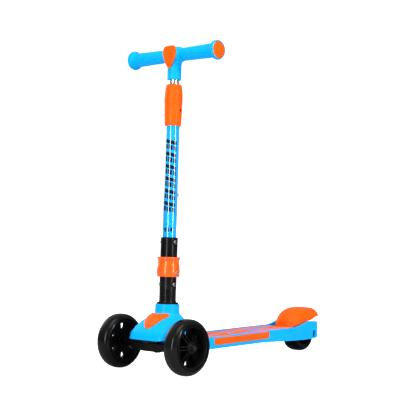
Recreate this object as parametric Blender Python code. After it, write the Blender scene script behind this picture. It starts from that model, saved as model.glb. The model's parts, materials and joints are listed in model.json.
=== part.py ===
"""Three-wheeled folding kick scooter for a small child.

The rider faces -Y, with +X on the rider's left and +Z up.  The origin is on the ground under the
middle of the scooter.  Sizes are in millimetres, and every mesh is made in metres by new_part().
The steering column and everything above it is modelled along its own axis, Z up from the ground,
and then leant back with an empty.
"""

from math import acos, cos, pi, radians, sin, sqrt, tan

import bmesh
import bpy
from mathutils import Matrix, Vector

MM = 0.001
FIT = 0.3
RING = 24
SMALL_RING = 12
BORE_RING = 16
WHEEL_RING = 32
NOSE_POINTS = 28
MERGE = 0.0005
SHARP_ANGLE = radians(35)

# Wheels
FRONT_AXLE_Y = -250.0
FRONT_AXLE_Z = 60.0
FRONT_TRACK = 101.5
FRONT_WHEEL_RADIUS = 60.0
FRONT_WHEEL_WIDTH = 38.0
FRONT_SHOULDER = 9.5
FRONT_RIM_HALF = 17.0
REAR_AXLE_Y = 270.0
REAR_WHEEL_RADIUS = 40.0
REAR_WHEEL_WIDTH = 44.0
REAR_SHOULDER = 5.0
AXLE_RADIUS = 4.0
BEARING_RADIUS = 11.0
BEARING_WIDTH = 7.0
HUB_CORE_RADIUS = 14.0
SPOKES = 6
FIRST_SPOKE = radians(30)

# Deck
DECK_FRONT = -180.0
DECK_BACK = 292.0
DECK_TOP = 66.0
DECK_WALL = 3.4
DECK_HALF = 53.5
FORK_HALF = 26.0
FORK_FRONT = 224.0
FORK_RIM_TOP = 76.0
FENDER_WELL_HALF = 41.0
FENDER_WELL_FRONT = 203.0
FENDER_WELL_FLOOR = 57.5
MAT_FRONT = -136.0
MAT_BACK = 202.4
MAT_HALF = 49.5
MAT_SEAT = 3.0
MAT_THICK = 1.3
PANEL_FRONT = -107.5
PANEL_BACK = 88.5
PANEL_LOW = 48.0
PANEL_HIGH = 64.2
PANEL_DEPTH = 2.4

# Steering
KINGPIN_ANGLE = radians(50)
KINGPIN_FOOT = Vector((0.0, FRONT_AXLE_Y + 12.0, 57.0))
KINGPIN_RADIUS = 4.0
TRUCK_BOSS_RADIUS = 13.0
BRACKET_HALF = 24.0

# Column and stem, measured along the leaning axis from the ground
STEM_FOOT_Y = -210.1
STEM_RAKE = radians(2.48)
TUBE_RADIUS = 15.0
TUBE_WALL = 1.5
SLEEVE_RADIUS = 18.75
SLEEVE_FOOT = 147.8
SLEEVE_TOP = 290.0
SPLIT = 209.0
HINGE_BACK = 14.0
HINGE_RADIUS = 4.2
HINGE_PIN_RADIUS = 1.75
RELIEF_DEPTH = 5.4
LOWER_BOLT = 186.7
UPPER_BOLT = 279.9
BOLT_FLAT = 17.2
STEM_TUBE_FOOT = 224.3
STEM_TUBE_TOP = 600.0
COLLAR_FOOT = 203.5
COLLAR_TOP = 247.0
BUTTON_HEIGHT = 213.0
CLAMP_FOOT = 536.4
CLAMP_TOP = 583.0
KNOB_FOOT = 583.3
KNOB_TOP = 628.6
STOP_SCREW = 384.4
STOP_SCREW_TURN = radians(40)
CLAMP_SCREW = 571.0
CLAMP_SCREW_TURN = radians(12)

# Handlebar
INNER_TUBE_RADIUS = 11.5
INNER_TUBE_FOOT = 387.0
BAR_AXIS = 694.0
TEE_FOOT = 639.0
GRIP_START = 27.0
GRIP_END = 130.2

# Fender brake
FENDER_PIVOT = Vector((0.0, 212.0, 61.5))
FENDER_HALF = 36.0
FENDER_FLARE = 4.0
FENDER_FRONT = 204.0
FENDER_BACK = 310.0
FENDER_TOP = 109.0
FENDER_WALL = 2.6
FENDER_SKIRT = 50.0

# name: (colour, roughness, metallic)
FINISHES = {
    "blue_plastic": ((0.0, 0.42, 0.90, 1.0), 0.38, 0.0),
    "orange_plastic": ((1.0, 0.13, 0.01, 1.0), 0.36, 0.0),
    "black_plastic": ((0.012, 0.012, 0.014, 1.0), 0.42, 0.0),
    "smoke_tyre": ((0.02, 0.02, 0.024, 1.0), 0.22, 0.0),
    "blue_tube": ((0.0, 0.40, 0.88, 1.0), 0.12, 0.3),
    "chrome": ((0.80, 0.80, 0.82, 1.0), 0.10, 1.0),
    "steel": ((0.50, 0.50, 0.52, 1.0), 0.32, 1.0),
    "blue_grip": ((0.0, 0.40, 0.86, 1.0), 0.55, 0.0),
    "deck_graphic": ((0.95, 0.22, 0.04, 1.0), 0.50, 0.0),
    "rubber": ((0.015, 0.015, 0.015, 1.0), 0.75, 0.0),
}


# --- shapes -------------------------------------------------------------------------------------


def turned(profile, axis="Z", centre=(0.0, 0.0, 0.0), segments=RING):
    """Turn a closed profile of (radius, height) points a full circle about an axis."""
    bm = bmesh.new()
    verts = [bm.verts.new((radius, 0.0, height)) for radius, height in profile]
    edges = [bm.edges.new((verts[i - 1], verts[i])) for i in range(len(verts))]
    bmesh.ops.spin(bm, geom=verts + edges, cent=(0, 0, 0), axis=(0, 0, 1), angle=2 * pi,
                   steps=segments, use_merge=True)
    bmesh.ops.remove_doubles(bm, verts=bm.verts, dist=MERGE)
    bmesh.ops.dissolve_degenerate(bm, dist=MERGE, edges=bm.edges)
    bmesh.ops.recalc_face_normals(bm, faces=bm.faces)
    if axis == "X":
        bmesh.ops.rotate(bm, verts=bm.verts, matrix=Matrix.Rotation(pi / 2, 3, "Y"))
    bmesh.ops.translate(bm, verts=bm.verts, vec=centre)
    return bm


def rod(radius, low, high, axis="Z", centre=(0.0, 0.0, 0.0), segments=RING):
    """A plain solid cylinder."""
    return turned([(0, low), (radius, low), (radius, high), (0, high)], axis, centre, segments)


def sleeve(outer, inner, low, high, axis="Z", centre=(0.0, 0.0, 0.0), segments=RING):
    """A plain tube, open at both ends."""
    profile = [(inner, low), (outer, low), (outer, high), (inner, high)]
    return turned(profile, axis, centre, segments)


def prism(outline, axis, low, high):
    """Extrude a closed outline along an axis; the outline's points are the other two coordinates."""
    def place(u, v, t):
        return {"X": (t, u, v), "Y": (u, t, v), "Z": (u, v, t)}[axis]

    bm = bmesh.new()
    face = bm.faces.new([bm.verts.new(place(u, v, low)) for u, v in outline])
    grown = bmesh.ops.extrude_face_region(bm, geom=[face])["geom"]
    moved = [item for item in grown if isinstance(item, bmesh.types.BMVert)]
    bmesh.ops.translate(bm, verts=moved, vec=place(0.0, 0.0, high - low))
    bmesh.ops.recalc_face_normals(bm, faces=bm.faces)
    return bm


def block(low, high):
    """A box between two corners."""
    outline = [(low[0], low[1]), (high[0], low[1]), (high[0], high[1]), (low[0], high[1])]
    return prism(outline, "Z", low[2], high[2])


def obround(width, height, segments=SMALL_RING):
    """The outline of a slot with round ends, upright, centred on its lower round's centre."""
    radius = width / 2
    lower = [(radius * cos(a), radius * sin(a)) for a in arc_angles(pi, 2 * pi, segments)]
    upper = [(radius * cos(a), height + radius * sin(a)) for a in arc_angles(0, pi, segments)]
    return lower + upper


def arc_angles(start, end, segments):
    """Evenly spaced angles, both ends included."""
    return [start + (end - start) * i / segments for i in range(segments + 1)]


def soft_ring(half_width, front, back, height, powers, points):
    """A flat ring between an ellipse (power 2) and a rectangle (a high power), by front and back half."""
    middle = (front + back) / 2
    half_length = (back - front) / 2
    ring = []
    for i in range(points):
        angle = 2 * pi * (i + 0.5) / points
        power = powers[0] if sin(angle) < 0 else powers[1]
        across = abs(cos(angle)) ** (2 / power) * (1 if cos(angle) > 0 else -1)
        along = abs(sin(angle)) ** (2 / power) * (1 if sin(angle) > 0 else -1)
        lift = height(along) if callable(height) else height
        ring.append((half_width * across, middle + half_length * along, lift))
    return ring


def loft(rings, closed):
    """Join rings of equal length; a closed loft is a ring of rings, an open one has flat caps."""
    bm = bmesh.new()
    rows = [[bm.verts.new(point) for point in ring] for ring in rings]
    count = len(rows[0])
    pairs = list(zip(rows, rows[1:]))
    if closed:
        pairs.append((rows[-1], rows[0]))
    else:
        bm.faces.new(rows[0])
        bm.faces.new(rows[-1])
    for lower, upper in pairs:
        for i in range(count):
            bm.faces.new((lower[i - 1], lower[i], upper[i], upper[i - 1]))
    bmesh.ops.recalc_face_normals(bm, faces=bm.faces)
    return bm


def gathered(*shapes):
    """Put several bodies that don't touch in one mesh, for a cutter or a union."""
    whole = bmesh.new()
    for shape in shapes:
        copy = bpy.data.meshes.new("gathered")
        shape.to_mesh(copy)
        shape.free()
        whole.from_mesh(copy)
        bpy.data.meshes.remove(copy)
    return whole


def kept(bm):
    """The same body, for the side that it is drawn on."""
    return bm


def mirrored(bm):
    """Swap left for right."""
    bmesh.ops.scale(bm, verts=bm.verts, vec=(-1, 1, 1))
    bmesh.ops.reverse_faces(bm, faces=bm.faces)
    return bm


def spun(bm, angle, axis="X"):
    """Turn a shape about one of the main axes."""
    bmesh.ops.rotate(bm, verts=bm.verts, matrix=Matrix.Rotation(angle, 3, axis))
    return bm


def aimed(bm, direction, origin):
    """Stand a shape made along Z at an origin, along a direction."""
    turn = Vector((0, 0, 1)).rotation_difference(direction).to_matrix()
    bmesh.ops.rotate(bm, verts=bm.verts, matrix=turn)
    bmesh.ops.translate(bm, verts=bm.verts, vec=origin)
    return bm


# --- objects ------------------------------------------------------------------------------------


def finish(name):
    """The named material, made once."""
    found = bpy.data.materials.get(name)
    if found:
        return found
    colour, roughness, metallic = FINISHES[name]
    material = bpy.data.materials.new(name)
    material.use_nodes = True
    shader = material.node_tree.nodes["Principled BSDF"]
    shader.inputs["Base Color"].default_value = colour
    shader.inputs["Roughness"].default_value = roughness
    shader.inputs["Metallic"].default_value = metallic
    return material


def linked(name, bm, pivot):
    """Make an object from a shape, its origin on the pivot that carries it."""
    origin = Vector((0, 0, 0)) if pivot is None else Vector(pivot["datum"])
    bmesh.ops.translate(bm, verts=bm.verts, vec=-origin)
    bmesh.ops.scale(bm, verts=bm.verts, vec=(MM, MM, MM))
    mesh = bpy.data.meshes.new(name)
    bm.to_mesh(mesh)
    bm.free()
    made = bpy.data.objects.new(name, mesh)
    bpy.context.collection.objects.link(made)
    made.parent = pivot
    return made


def new_part(name, bm, finish_name, pivot=None):
    """Make one named sub-part."""
    made = linked(name, bm, pivot)
    made.data.materials.append(finish(finish_name))
    made.data.shade_smooth()
    made.data.set_sharp_from_angle(angle=SHARP_ANGLE)
    return made


def combine(target, bm, operation):
    """Cut a shape from a part, or join it on, with an exact Boolean."""
    helper = linked(f"{target.name}_tool_{len(target.modifiers)}", bm, target.parent)
    helper.hide_render = True
    helper.display_type = "WIRE"
    step = target.modifiers.new(operation.lower(), "BOOLEAN")
    step.operation = operation
    step.solver = "EXACT"
    step.object = helper


def cut(target, *shapes):
    """Take shapes away from a part, one after another, since they may overlap."""
    for shape in shapes:
        combine(target, shape, "DIFFERENCE")


def join(target, *shapes):
    """Add shapes to a part."""
    for shape in shapes:
        combine(target, shape, "UNION")


def hex_nut(name, placed_rod, size, bore, low, high, pivot=None):
    """A hexagonal nut with a round bore; placed_rod puts a rod on the nut's own axis."""
    made = new_part(name, placed_rod(size, low, high, 6), "steel", pivot)
    cut(made, placed_rod(bore, low - 5.0, high + 5.0, BORE_RING))


def pivot_empty(name, place, datum=(0.0, 0.0, 0.0), parent=None, rake=0.0):
    """An empty on a joint's axis.

    place is where it stands and datum is the same point in its parts' own drawing.
    """
    empty = bpy.data.objects.new(name, None)
    bpy.context.collection.objects.link(empty)
    empty.parent = parent
    empty.location = Vector(place) * MM
    empty.rotation_euler = (-rake, 0.0, 0.0)
    empty["datum"] = tuple(datum)
    return empty


def stem_point(forward, height):
    """The world place of a point of the leaning stem, given along and ahead of its axis."""
    return Vector((0.0, STEM_FOOT_Y + forward * cos(STEM_RAKE) + height * sin(STEM_RAKE),
                   height * cos(STEM_RAKE) - forward * sin(STEM_RAKE)))


# --- wheels -------------------------------------------------------------------------------------


def tyre(radius, width, seat, shoulder):
    """A round-shouldered solid tyre about X, its middle at the origin."""
    half = width / 2
    wall = radius - shoulder - 2.5
    crown = [(radius - shoulder * (abs(t) ** 3), half * t) for t in (-0.92, -0.62, 0.0, 0.62, 0.92)]
    profile = [(seat, -half), (wall, -half)] + crown + [(wall, half), (seat, half)]
    return turned(profile, "X", segments=WHEEL_RING)


def spoke_ribs(inner, outer):
    """Two ribs for each spoke, dished towards the outer face, about X."""
    shapes = []
    outline = [(inner, -11.0), (outer, -8.0), (outer, 3.5), (inner, 12.5)]
    for i in range(SPOKES):
        for offset in (-3.4, 3.4):
            rib = prism([(v, u) for u, v in outline], "Y", offset - 1.3, offset + 1.3)
            shapes.append(spun(rib, FIRST_SPOKE + i * 2 * pi / SPOKES))
    return gathered(*shapes)


def hub_windows():
    """One window in the hub's disc between each two spokes."""
    window = [(-5.0, 25.5), (5.0, 25.5), (9.0, 36.0), (7.0, 38.5), (-7.0, 38.5), (-9.0, 36.0)]
    return gathered(*[spun(prism(window, "X", -12.0, 4.0), FIRST_SPOKE + (i + 0.5) * 2 * pi / SPOKES)
                      for i in range(SPOKES)])


def bearing_bores(places):
    """Seats for the bearings and a clear way for the axle, about X."""
    bores = [rod(AXLE_RADIUS + 2.5, -40, 40, "X", segments=BORE_RING)]
    bores += [rod(BEARING_RADIUS + FIT, low, high, "X", segments=BORE_RING) for low, high in places]
    return bores


def front_wheel(side, name, pivot):
    """A front wheel: tyre, spoked hub and two bearings, outer face towards its side."""
    face = kept if side > 0 else mirrored
    move = Vector(pivot["datum"])

    def placed(bm):
        bm = face(bm)
        bmesh.ops.translate(bm, verts=bm.verts, vec=move)
        return bm

    seat = 47.0
    tread = placed(tyre(FRONT_WHEEL_RADIUS, FRONT_WHEEL_WIDTH, seat, FRONT_SHOULDER))
    new_part(f"tyre_{name}", tread, "smoke_tyre", pivot)
    half = FRONT_RIM_HALF
    profile = [(42.0, -half), (seat - FIT, -half), (seat - FIT, half), (42.0, half)]
    rim = turned(profile, "X", segments=WHEEL_RING)
    hub = new_part(f"hub_{name}", placed(rim), "black_plastic", pivot)
    disc = rod(43.1, -6.5, -3.5, "X", segments=RING)
    core = rod(HUB_CORE_RADIUS, -12.8, 14.6, "X", segments=RING)
    join(hub, placed(disc), placed(spoke_ribs(11.0, 44.0)), placed(core))
    cut(hub, placed(hub_windows()), *[placed(bore) for bore in bearing_bores([(-40, -5.4), (7.2, 40)])])
    for spot, low in (("inner", -12.6), ("outer", 7.4)):
        bearing = sleeve(BEARING_RADIUS, AXLE_RADIUS + FIT, low, low + BEARING_WIDTH, "X", segments=BORE_RING)
        new_part(f"bearing_{name}_{spot}", placed(bearing), "steel", pivot)


def rear_wheel(pivot):
    """The rear wheel: tyre, hub and two bearings."""
    move = Vector(pivot["datum"])

    def placed(bm):
        bmesh.ops.translate(bm, verts=bm.verts, vec=move)
        return bm

    seat = 29.0
    tread = placed(tyre(REAR_WHEEL_RADIUS, REAR_WHEEL_WIDTH, seat, REAR_SHOULDER))
    new_part("rear_tyre", tread, "smoke_tyre", pivot)
    rim, core, web = 19.5, 20.5, 5.0
    profile = [(seat - FIT, -rim), (seat - FIT, rim), (25.0, rim), (25.0, web), (HUB_CORE_RADIUS, web),
               (HUB_CORE_RADIUS, core), (6.5, core), (6.5, -core), (HUB_CORE_RADIUS, -core),
               (HUB_CORE_RADIUS, -web), (25.0, -web), (25.0, -rim)]
    hub = new_part("rear_hub", placed(turned(profile, "X", segments=RING)), "black_plastic", pivot)
    for low, high in ((-30, -13), (13, 30)):
        cut(hub, placed(rod(BEARING_RADIUS + FIT, low, high, "X", segments=BORE_RING)))
    for name, low in (("right", -20.3), ("left", 13.3)):
        bearing = sleeve(BEARING_RADIUS, AXLE_RADIUS + FIT, low, low + BEARING_WIDTH, "X", segments=BORE_RING)
        new_part(f"rear_bearing_{name}", placed(bearing), "steel", pivot)


def rear_axle():
    """The rear axle and the two spacers that keep the wheel in the middle of the fork."""
    centre = (0, REAR_AXLE_Y, REAR_WHEEL_RADIUS)
    new_part("rear_axle", rod(AXLE_RADIUS, -47.5, 47.5, "X", centre, BORE_RING), "steel")
    inner = 20.8
    for name, low in (("right", -FORK_HALF + FIT), ("left", inner)):
        spacer = sleeve(6.2, AXLE_RADIUS + FIT, low, low + FORK_HALF - FIT - inner, "X", centre, BORE_RING)
        new_part(f"rear_spacer_{name}", spacer, "steel")


# --- truck and steering -------------------------------------------------------------------------


def kingpin_axis():
    """The direction that the truck turns about: forwards and up."""
    return Vector((0.0, -cos(KINGPIN_ANGLE), sin(KINGPIN_ANGLE)))


def truck(pivot):
    """The beam that carries both front wheels, with its axles and nuts."""
    upper = [(60, 65.0), (50, 62.0), (-50, 62.0), (-60, 65.0)]
    lower = [(-60, 52.5), (-42, 46.5), (-16, 44.5), (16, 44.5), (42, 46.5), (60, 52.5)]
    beam = prism(upper + lower, "Y", FRONT_AXLE_Y - 10.5, FRONT_AXLE_Y + 10.5)
    made = new_part("truck_beam", beam, "black_plastic", pivot)
    boss = aimed(rod(TRUCK_BOSS_RADIUS, -12.0, 10.0), kingpin_axis(), KINGPIN_FOOT)
    centre = (0, FRONT_AXLE_Y, FRONT_AXLE_Z)
    ends = [rod(9.0, low, high, "X", centre, BORE_RING) for low, high in ((-84, -54), (54, 84))]
    join(made, boss, *ends)
    bore = aimed(rod(KINGPIN_RADIUS + FIT + 0.1, -30, 30, segments=BORE_RING), kingpin_axis(), KINGPIN_FOOT)
    seats = [rod(AXLE_RADIUS + FIT, low, high, "X", (0, FRONT_AXLE_Y, FRONT_AXLE_Z), BORE_RING)
             for low, high in ((-90, -30), (30, 90))]
    bush_seat = aimed(rod(TRUCK_BOSS_RADIUS + 0.6, 9.8, 40), kingpin_axis(), KINGPIN_FOOT)
    cut(made, bore, bush_seat, *seats)
    for side, name in ((1, "left"), (-1, "right")):
        face = kept if side > 0 else mirrored
        centre = (0, FRONT_AXLE_Y, FRONT_AXLE_Z)
        axle = face(rod(AXLE_RADIUS, 30.4, 124.6, "X", centre, BORE_RING))
        new_part(f"front_axle_{name}", axle, "steel", pivot)

        def on_axle(radius, low, high, segments, face=face):
            return face(rod(radius, low, high, "X", centre, segments))

        hex_nut(f"axle_nut_{name}", on_axle, 7.0, AXLE_RADIUS + FIT, 116.4, 122.4, pivot)


def kingpin():
    """The bolt that the truck turns on, its nut, and the rubber bush that brings it back."""
    direction = kingpin_axis()
    shaft = [(0, -18.5), (6.5, -18.5), (6.5, -12.4),
             (KINGPIN_RADIUS, -12.4), (KINGPIN_RADIUS, 35.5), (0, 35.5)]
    new_part("kingpin", aimed(turned(shaft, segments=BORE_RING), direction, KINGPIN_FOOT), "steel")
    bush = sleeve(12.0, KINGPIN_RADIUS + FIT, 10.3, 19.9, segments=BORE_RING)
    new_part("steering_bush", aimed(bush, direction, KINGPIN_FOOT), "rubber")

    def on_kingpin(radius, low, high, segments):
        return aimed(rod(radius, low, high, segments=segments), direction, KINGPIN_FOOT)

    hex_nut("kingpin_nut", on_kingpin, 6.5, KINGPIN_RADIUS + FIT, 26.5, 32.5)


def steering_bracket():
    """The bent steel plate that holds the kingpin, the column and the deck together."""
    direction = kingpin_axis()
    across = Vector((0.0, sin(KINGPIN_ANGLE), cos(KINGPIN_ANGLE)))
    low = KINGPIN_FOOT + direction * 20.2
    high = KINGPIN_FOOT + direction * 26.2
    nose = [low - across * 13, high - across * 13]
    heel = [high + across * 13.5, low + across * 16]
    seat_top = 88.0
    thick = 5.0
    tail_top = DECK_TOP - DECK_WALL - MAT_SEAT - FIT
    knee = FRONT_AXLE_Y + 66.0
    step = FRONT_AXLE_Y + 96.0
    tail = FRONT_AXLE_Y + 170.0
    outline = [(corner.y, corner.z) for corner in nose + heel[:1]]
    outline += [(heel[0].y + 2.0, seat_top), (knee, seat_top), (step, tail_top), (tail, tail_top),
                (tail, tail_top - thick), (step - 2, tail_top - thick), (knee - 3, seat_top - thick),
                (heel[1].y, seat_top - thick)]
    made = new_part("steering_bracket", prism(outline, "X", -BRACKET_HALF, BRACKET_HALF), "steel")
    bolt_y = FRONT_AXLE_Y + 138.0
    cut(made, aimed(rod(KINGPIN_RADIUS + FIT, 0, 60, segments=BORE_RING), direction, KINGPIN_FOOT),
        rod(3.4, 20, 80, "Z", (0, bolt_y, 0), SMALL_RING))
    floor = tail_top - thick
    profile = [(0, floor - 4.5), (6.0, floor - 4.5), (6.0, floor - FIT), (3.0, floor - FIT),
               (3.0, DECK_TOP - MAT_SEAT - 0.4), (0, DECK_TOP - MAT_SEAT - 0.4)]
    new_part("bracket_bolt", turned(profile, "Z", (0, bolt_y, 0), SMALL_RING), "steel")


# --- deck ---------------------------------------------------------------------------------------


def deck_plan():
    """The deck from above, its front and back corners rounded."""
    corner = 12.0
    right = [(DECK_HALF - 5.5, DECK_FRONT), (DECK_HALF - 2.0, DECK_FRONT + 30), (DECK_HALF, DECK_FRONT + 80),
             (DECK_HALF, 150.0), (50.5, 215.0)]
    right += [(50.5 - corner + corner * cos(a), DECK_BACK - corner + corner * sin(a))
              for a in arc_angles(0, pi / 2, 5)]
    return right + [(-x, y) for x, y in reversed(right)]


def deck_side():
    """The deck from the side: a long sweep below, and a raised rim beside the rear wheel."""
    top = [(DECK_BACK + 5, 68.0), (291, 71.0), (282, 74.5), (270, FORK_RIM_TOP), (256, FORK_RIM_TOP),
           (246, 75.0), (232, 71.0), (218, 67.5), (205, DECK_TOP), (DECK_FRONT - 5, DECK_TOP)]
    bottom = [(DECK_FRONT - 5, 43.0), (-150, 40.5), (60, 40.0), (120, 37.6), (190, 34.0), (230, 32.5),
              (275, 33.0), (DECK_BACK + 5, 37.0)]
    return top + bottom


def deck_pockets():
    """The hollows between the ribs on the underside."""
    pockets = [block((-30, -152, 0), (30, -76, DECK_TOP - DECK_WALL - MAT_SEAT))]
    rib = 3.0
    rows = 5
    start = -73.0
    pitch = (FENDER_WELL_FRONT - 6.0 - start) / rows
    for row in range(rows):
        for low, high in ((-47.0, -rib / 2), (rib / 2, 47.0)):
            pockets.append(block((low, start + row * pitch, 0),
                                 (high, start + (row + 1) * pitch - rib, DECK_TOP - DECK_WALL - MAT_SEAT)))
    return pockets


def deck_shell():
    """The deck moulding, open underneath between its ribs, with a fork for the rear wheel."""
    made = new_part("deck_shell", prism(deck_plan(), "Z", 20, 90), "blue_plastic")
    combine(made, prism(deck_side(), "X", -70, 70), "INTERSECT")
    soft = made.modifiers.new("soft_edges", "BEVEL")
    soft.width = 1.6 * MM
    soft.segments = 1
    soft.limit_method = "ANGLE"
    soft.angle_limit = radians(50)
    cut(made, gathered(*deck_pockets()))
    cut(made, block((-FORK_HALF, FORK_FRONT, 0), (FORK_HALF, DECK_BACK + 20, 100)),
        block((-BRACKET_HALF - 1.5, DECK_FRONT - 20, 0), (BRACKET_HALF + 1.5, -146, 100)))
    cut(made, block((-FENDER_WELL_HALF, FENDER_WELL_FRONT, FENDER_WELL_FLOOR),
                    (FENDER_WELL_HALF, DECK_BACK + 20, 100)))
    cut(made, prism(rounded(MAT_HALF, MAT_FRONT, FENDER_WELL_FRONT + 1.0, 4.0), "Z", DECK_TOP - MAT_SEAT, 80))
    seats = [mirrored(side_panel_shape(0.0, DECK_HALF - PANEL_DEPTH, 70.0)),
             side_panel_shape(0.0, DECK_HALF - PANEL_DEPTH, 70.0)]
    cut(made, *seats)
    slot = [(REAR_AXLE_Y + u, REAR_WHEEL_RADIUS + v) for u, v in obround(2 * (AXLE_RADIUS + FIT), 9.0, 8)]
    cut(made, prism(slot, "X", -70, 70), rod(3.4, 40, 100, "Z", (0, FRONT_AXLE_Y + 138.0, 0), SMALL_RING))
    pin = rod(2.0 + FIT, -45.5, 45.5, "X", (0, FENDER_PIVOT.y, FENDER_PIVOT.z), SMALL_RING)
    cut(made, pin)


def rounded(half, front, back, corner, segments=4):
    """A rectangle with round corners, seen from above."""
    outline = []
    for sx, sy, start in ((1, 1, 0), (-1, 1, pi / 2), (-1, -1, pi), (1, -1, 3 * pi / 2)):
        middle_y = back - corner if sy > 0 else front + corner
        for a in arc_angles(start, start + pi / 2, segments):
            outline.append((sx * (half - corner) + corner * cos(a), middle_y + corner * sin(a)))
    return outline


def side_panel_shape(gap, inner, outer):
    """The coloured strip let into the deck's left side, its lower corners rounded."""
    front, back = PANEL_FRONT + gap, PANEL_BACK - gap
    low, high = PANEL_LOW + gap, PANEL_HIGH - gap
    corner = 6.0
    outline = [(back, high), (front, high)]
    turns = arc_angles(0, pi / 2, 4)
    outline += [(front + corner - corner * cos(a), low + corner - corner * sin(a)) for a in turns]
    outline += [(back - corner + corner * sin(a), low + corner - corner * cos(a)) for a in turns]
    return prism(outline, "X", inner, outer)


def deck_trim():
    """The printed anti-slip mat and the two side panels."""
    mat_low = DECK_TOP - MAT_SEAT + FIT
    outline = rounded(MAT_HALF - FIT, MAT_FRONT + FIT, MAT_BACK, 4.0 - FIT)
    mat = prism(outline, "Z", mat_low, mat_low + MAT_THICK)
    new_part("deck_mat", mat, "deck_graphic")
    inner = DECK_HALF - PANEL_DEPTH + FIT
    new_part("side_panel_left", side_panel_shape(FIT, inner, DECK_HALF + 0.4), "orange_plastic")
    new_part("side_panel_right", mirrored(side_panel_shape(FIT, inner, DECK_HALF + 0.4)), "orange_plastic")


# --- nose ---------------------------------------------------------------------------------------


NOSE_LEVELS = (
    # height, front, back, half width, powers of the front and back corners
    (85.0, -275.0, -146.0, 53.4, (6.0, 4.0)),
    (96.0, -266.5, -158.0, 50.2, (5.0, 3.2)),
    (106.0, -255.5, -167.0, 44.6, (4.0, 2.6)),
    (114.0, -245.5, -173.0, 38.2, (3.4, 2.2)),
    (120.5, -236.5, -176.0, 31.5, (2.6, 2.0)),
)


def nose_lip(offset):
    """How high the nose's lower edge runs: arched over the axle, lower at its back."""
    def height(along):
        return 70.3 + offset + 7.5 * (1 - along * along) - 2.3 * max(along, 0.0)
    return height


def collar_level(radius, height):
    """The height round a ring that stands square to the leaning column."""
    def level(along):
        return height - radius * along * tan(STEM_RAKE)
    return level


def nose_rings(grow):
    """The nose moulding's outer rings from its lip to its collar, grown outwards all round."""
    out = grow * 0.8
    rings = [soft_ring(54.5 + out, -278.0 - out, -140.5 + out, nose_lip(0.0), (7.0, 5.0), NOSE_POINTS)]
    for level, front, back, half, powers in NOSE_LEVELS:
        rings.append(soft_ring(half + out, front - out, back + out, level + out, powers, NOSE_POINTS))
    return rings


def collar_ring(radius, height):
    """A ring about the column, square to it."""
    middle = STEM_FOOT_Y + 134.0 * sin(STEM_RAKE)
    return soft_ring(radius, middle - radius, middle + radius, collar_level(radius, height), (2.0, 2.0),
                     NOSE_POINTS)


def front_housing():
    """The nose moulding and its collar, one wall thick, open below and around the column."""
    wall = 3.0
    rings = nose_rings(0.0)
    outer = [(27.4, 124.5), (26.7, 128.0), (26.7, 143.2), (25.9, 144.0)]
    inner = [(16.2, 144.0), (16.2, 139.0), (22.6, 139.0), (23.0, 123.0)]
    rings += [collar_ring(radius, height) for radius, height in outer + inner]
    rings += reversed(nose_rings(-wall))
    new_part("front_housing", loft(rings, True), "blue_plastic")


def nose_skin(grow):
    """A solid of the nose's outer form, grown outwards, to shape what lies on it."""
    rings = nose_rings(grow)
    base = [(x, y, 40.0) for x, y, _ in rings[0]]
    neck = [collar_ring(27.4 + grow * 0.8, 124.5 + grow), collar_ring(26.7 + grow, 150.0)]
    return loft([base] + rings + neck, False)


def nose_badge():
    """The shield on the front of the nose, a thin plate that follows the slope."""
    side = [(0.0, -268.5), (8.0, -266.5), (15.5, -259.5), (22.5, -249.0),
            (27.5, -237.0), (29.0, -229.5), (27.0, -225.5)]
    reach = 29.3
    turns = arc_angles(radians(50), radians(-50), 8)
    arc = [(reach * sin(a), STEM_FOOT_Y + 6.0 - reach * cos(a)) for a in turns]
    outline = side + arc + [(-x, y) for x, y in reversed(side[1:])]
    made = new_part("nose_badge", prism(outline, "Z", 90, 128), "orange_plastic")
    combine(made, nose_skin(2.6), "INTERSECT")
    cut(made, nose_skin(FIT))


# --- column and fold ----------------------------------------------------------------------------


def bolt_and_nut(name, height, pivot):
    """A through-bolt across the stem with its nut on the right."""
    centre = (0, 0, height)
    shaft = [(0, -27.0), (3.0, -27.0), (3.0, BOLT_FLAT + FIT), (5.2, BOLT_FLAT + FIT), (4.6, BOLT_FLAT + 3.0),
             (3.0, BOLT_FLAT + 4.1), (0, BOLT_FLAT + 4.1)]
    new_part(f"{name}_bolt", turned(shaft, "X", centre, 16), "steel", pivot)

    def on_bolt(radius, low, high, segments):
        return rod(radius, low, high, "X", centre, segments)

    hex_nut(f"{name}_nut", on_bolt, 5.6, 3.0 + FIT, -BOLT_FLAT - FIT - 5.0, -BOLT_FLAT - FIT, pivot)


def bolt_flats(height):
    """Two round flats for the bolt's head and nut."""
    centre = (0, 0, height)
    spans = ((BOLT_FLAT, 40), (-40, -BOLT_FLAT))
    return [rod(8.0, low, high, "X", centre, BORE_RING) for low, high in spans]


def bolt_hole(height):
    """The hole between the two flats."""
    return rod(3.0 + FIT, -40, 40, "X", (0, 0, height), BORE_RING)


def knuckle(low, high, radius=HINGE_RADIUS):
    """A hinge knuckle about the fold's pin."""
    return rod(radius, low, high, "X", (0, HINGE_BACK, SPLIT), 16)


def upper_lug(low, high):
    """One of the two outer knuckles, cut flat behind so that the collar slides over it."""
    flat = 16.6 - HINGE_BACK
    start = acos(flat / HINGE_RADIUS)
    outline = [(HINGE_BACK + HINGE_RADIUS * cos(a), SPLIT + HINGE_RADIUS * sin(a))
               for a in arc_angles(2 * pi - start, pi, 8)]
    outline += [(HINGE_BACK - HINGE_RADIUS, SPLIT + 10.0), (16.6, SPLIT + 10.0)]
    return prism(outline, "X", low, high)


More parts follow.
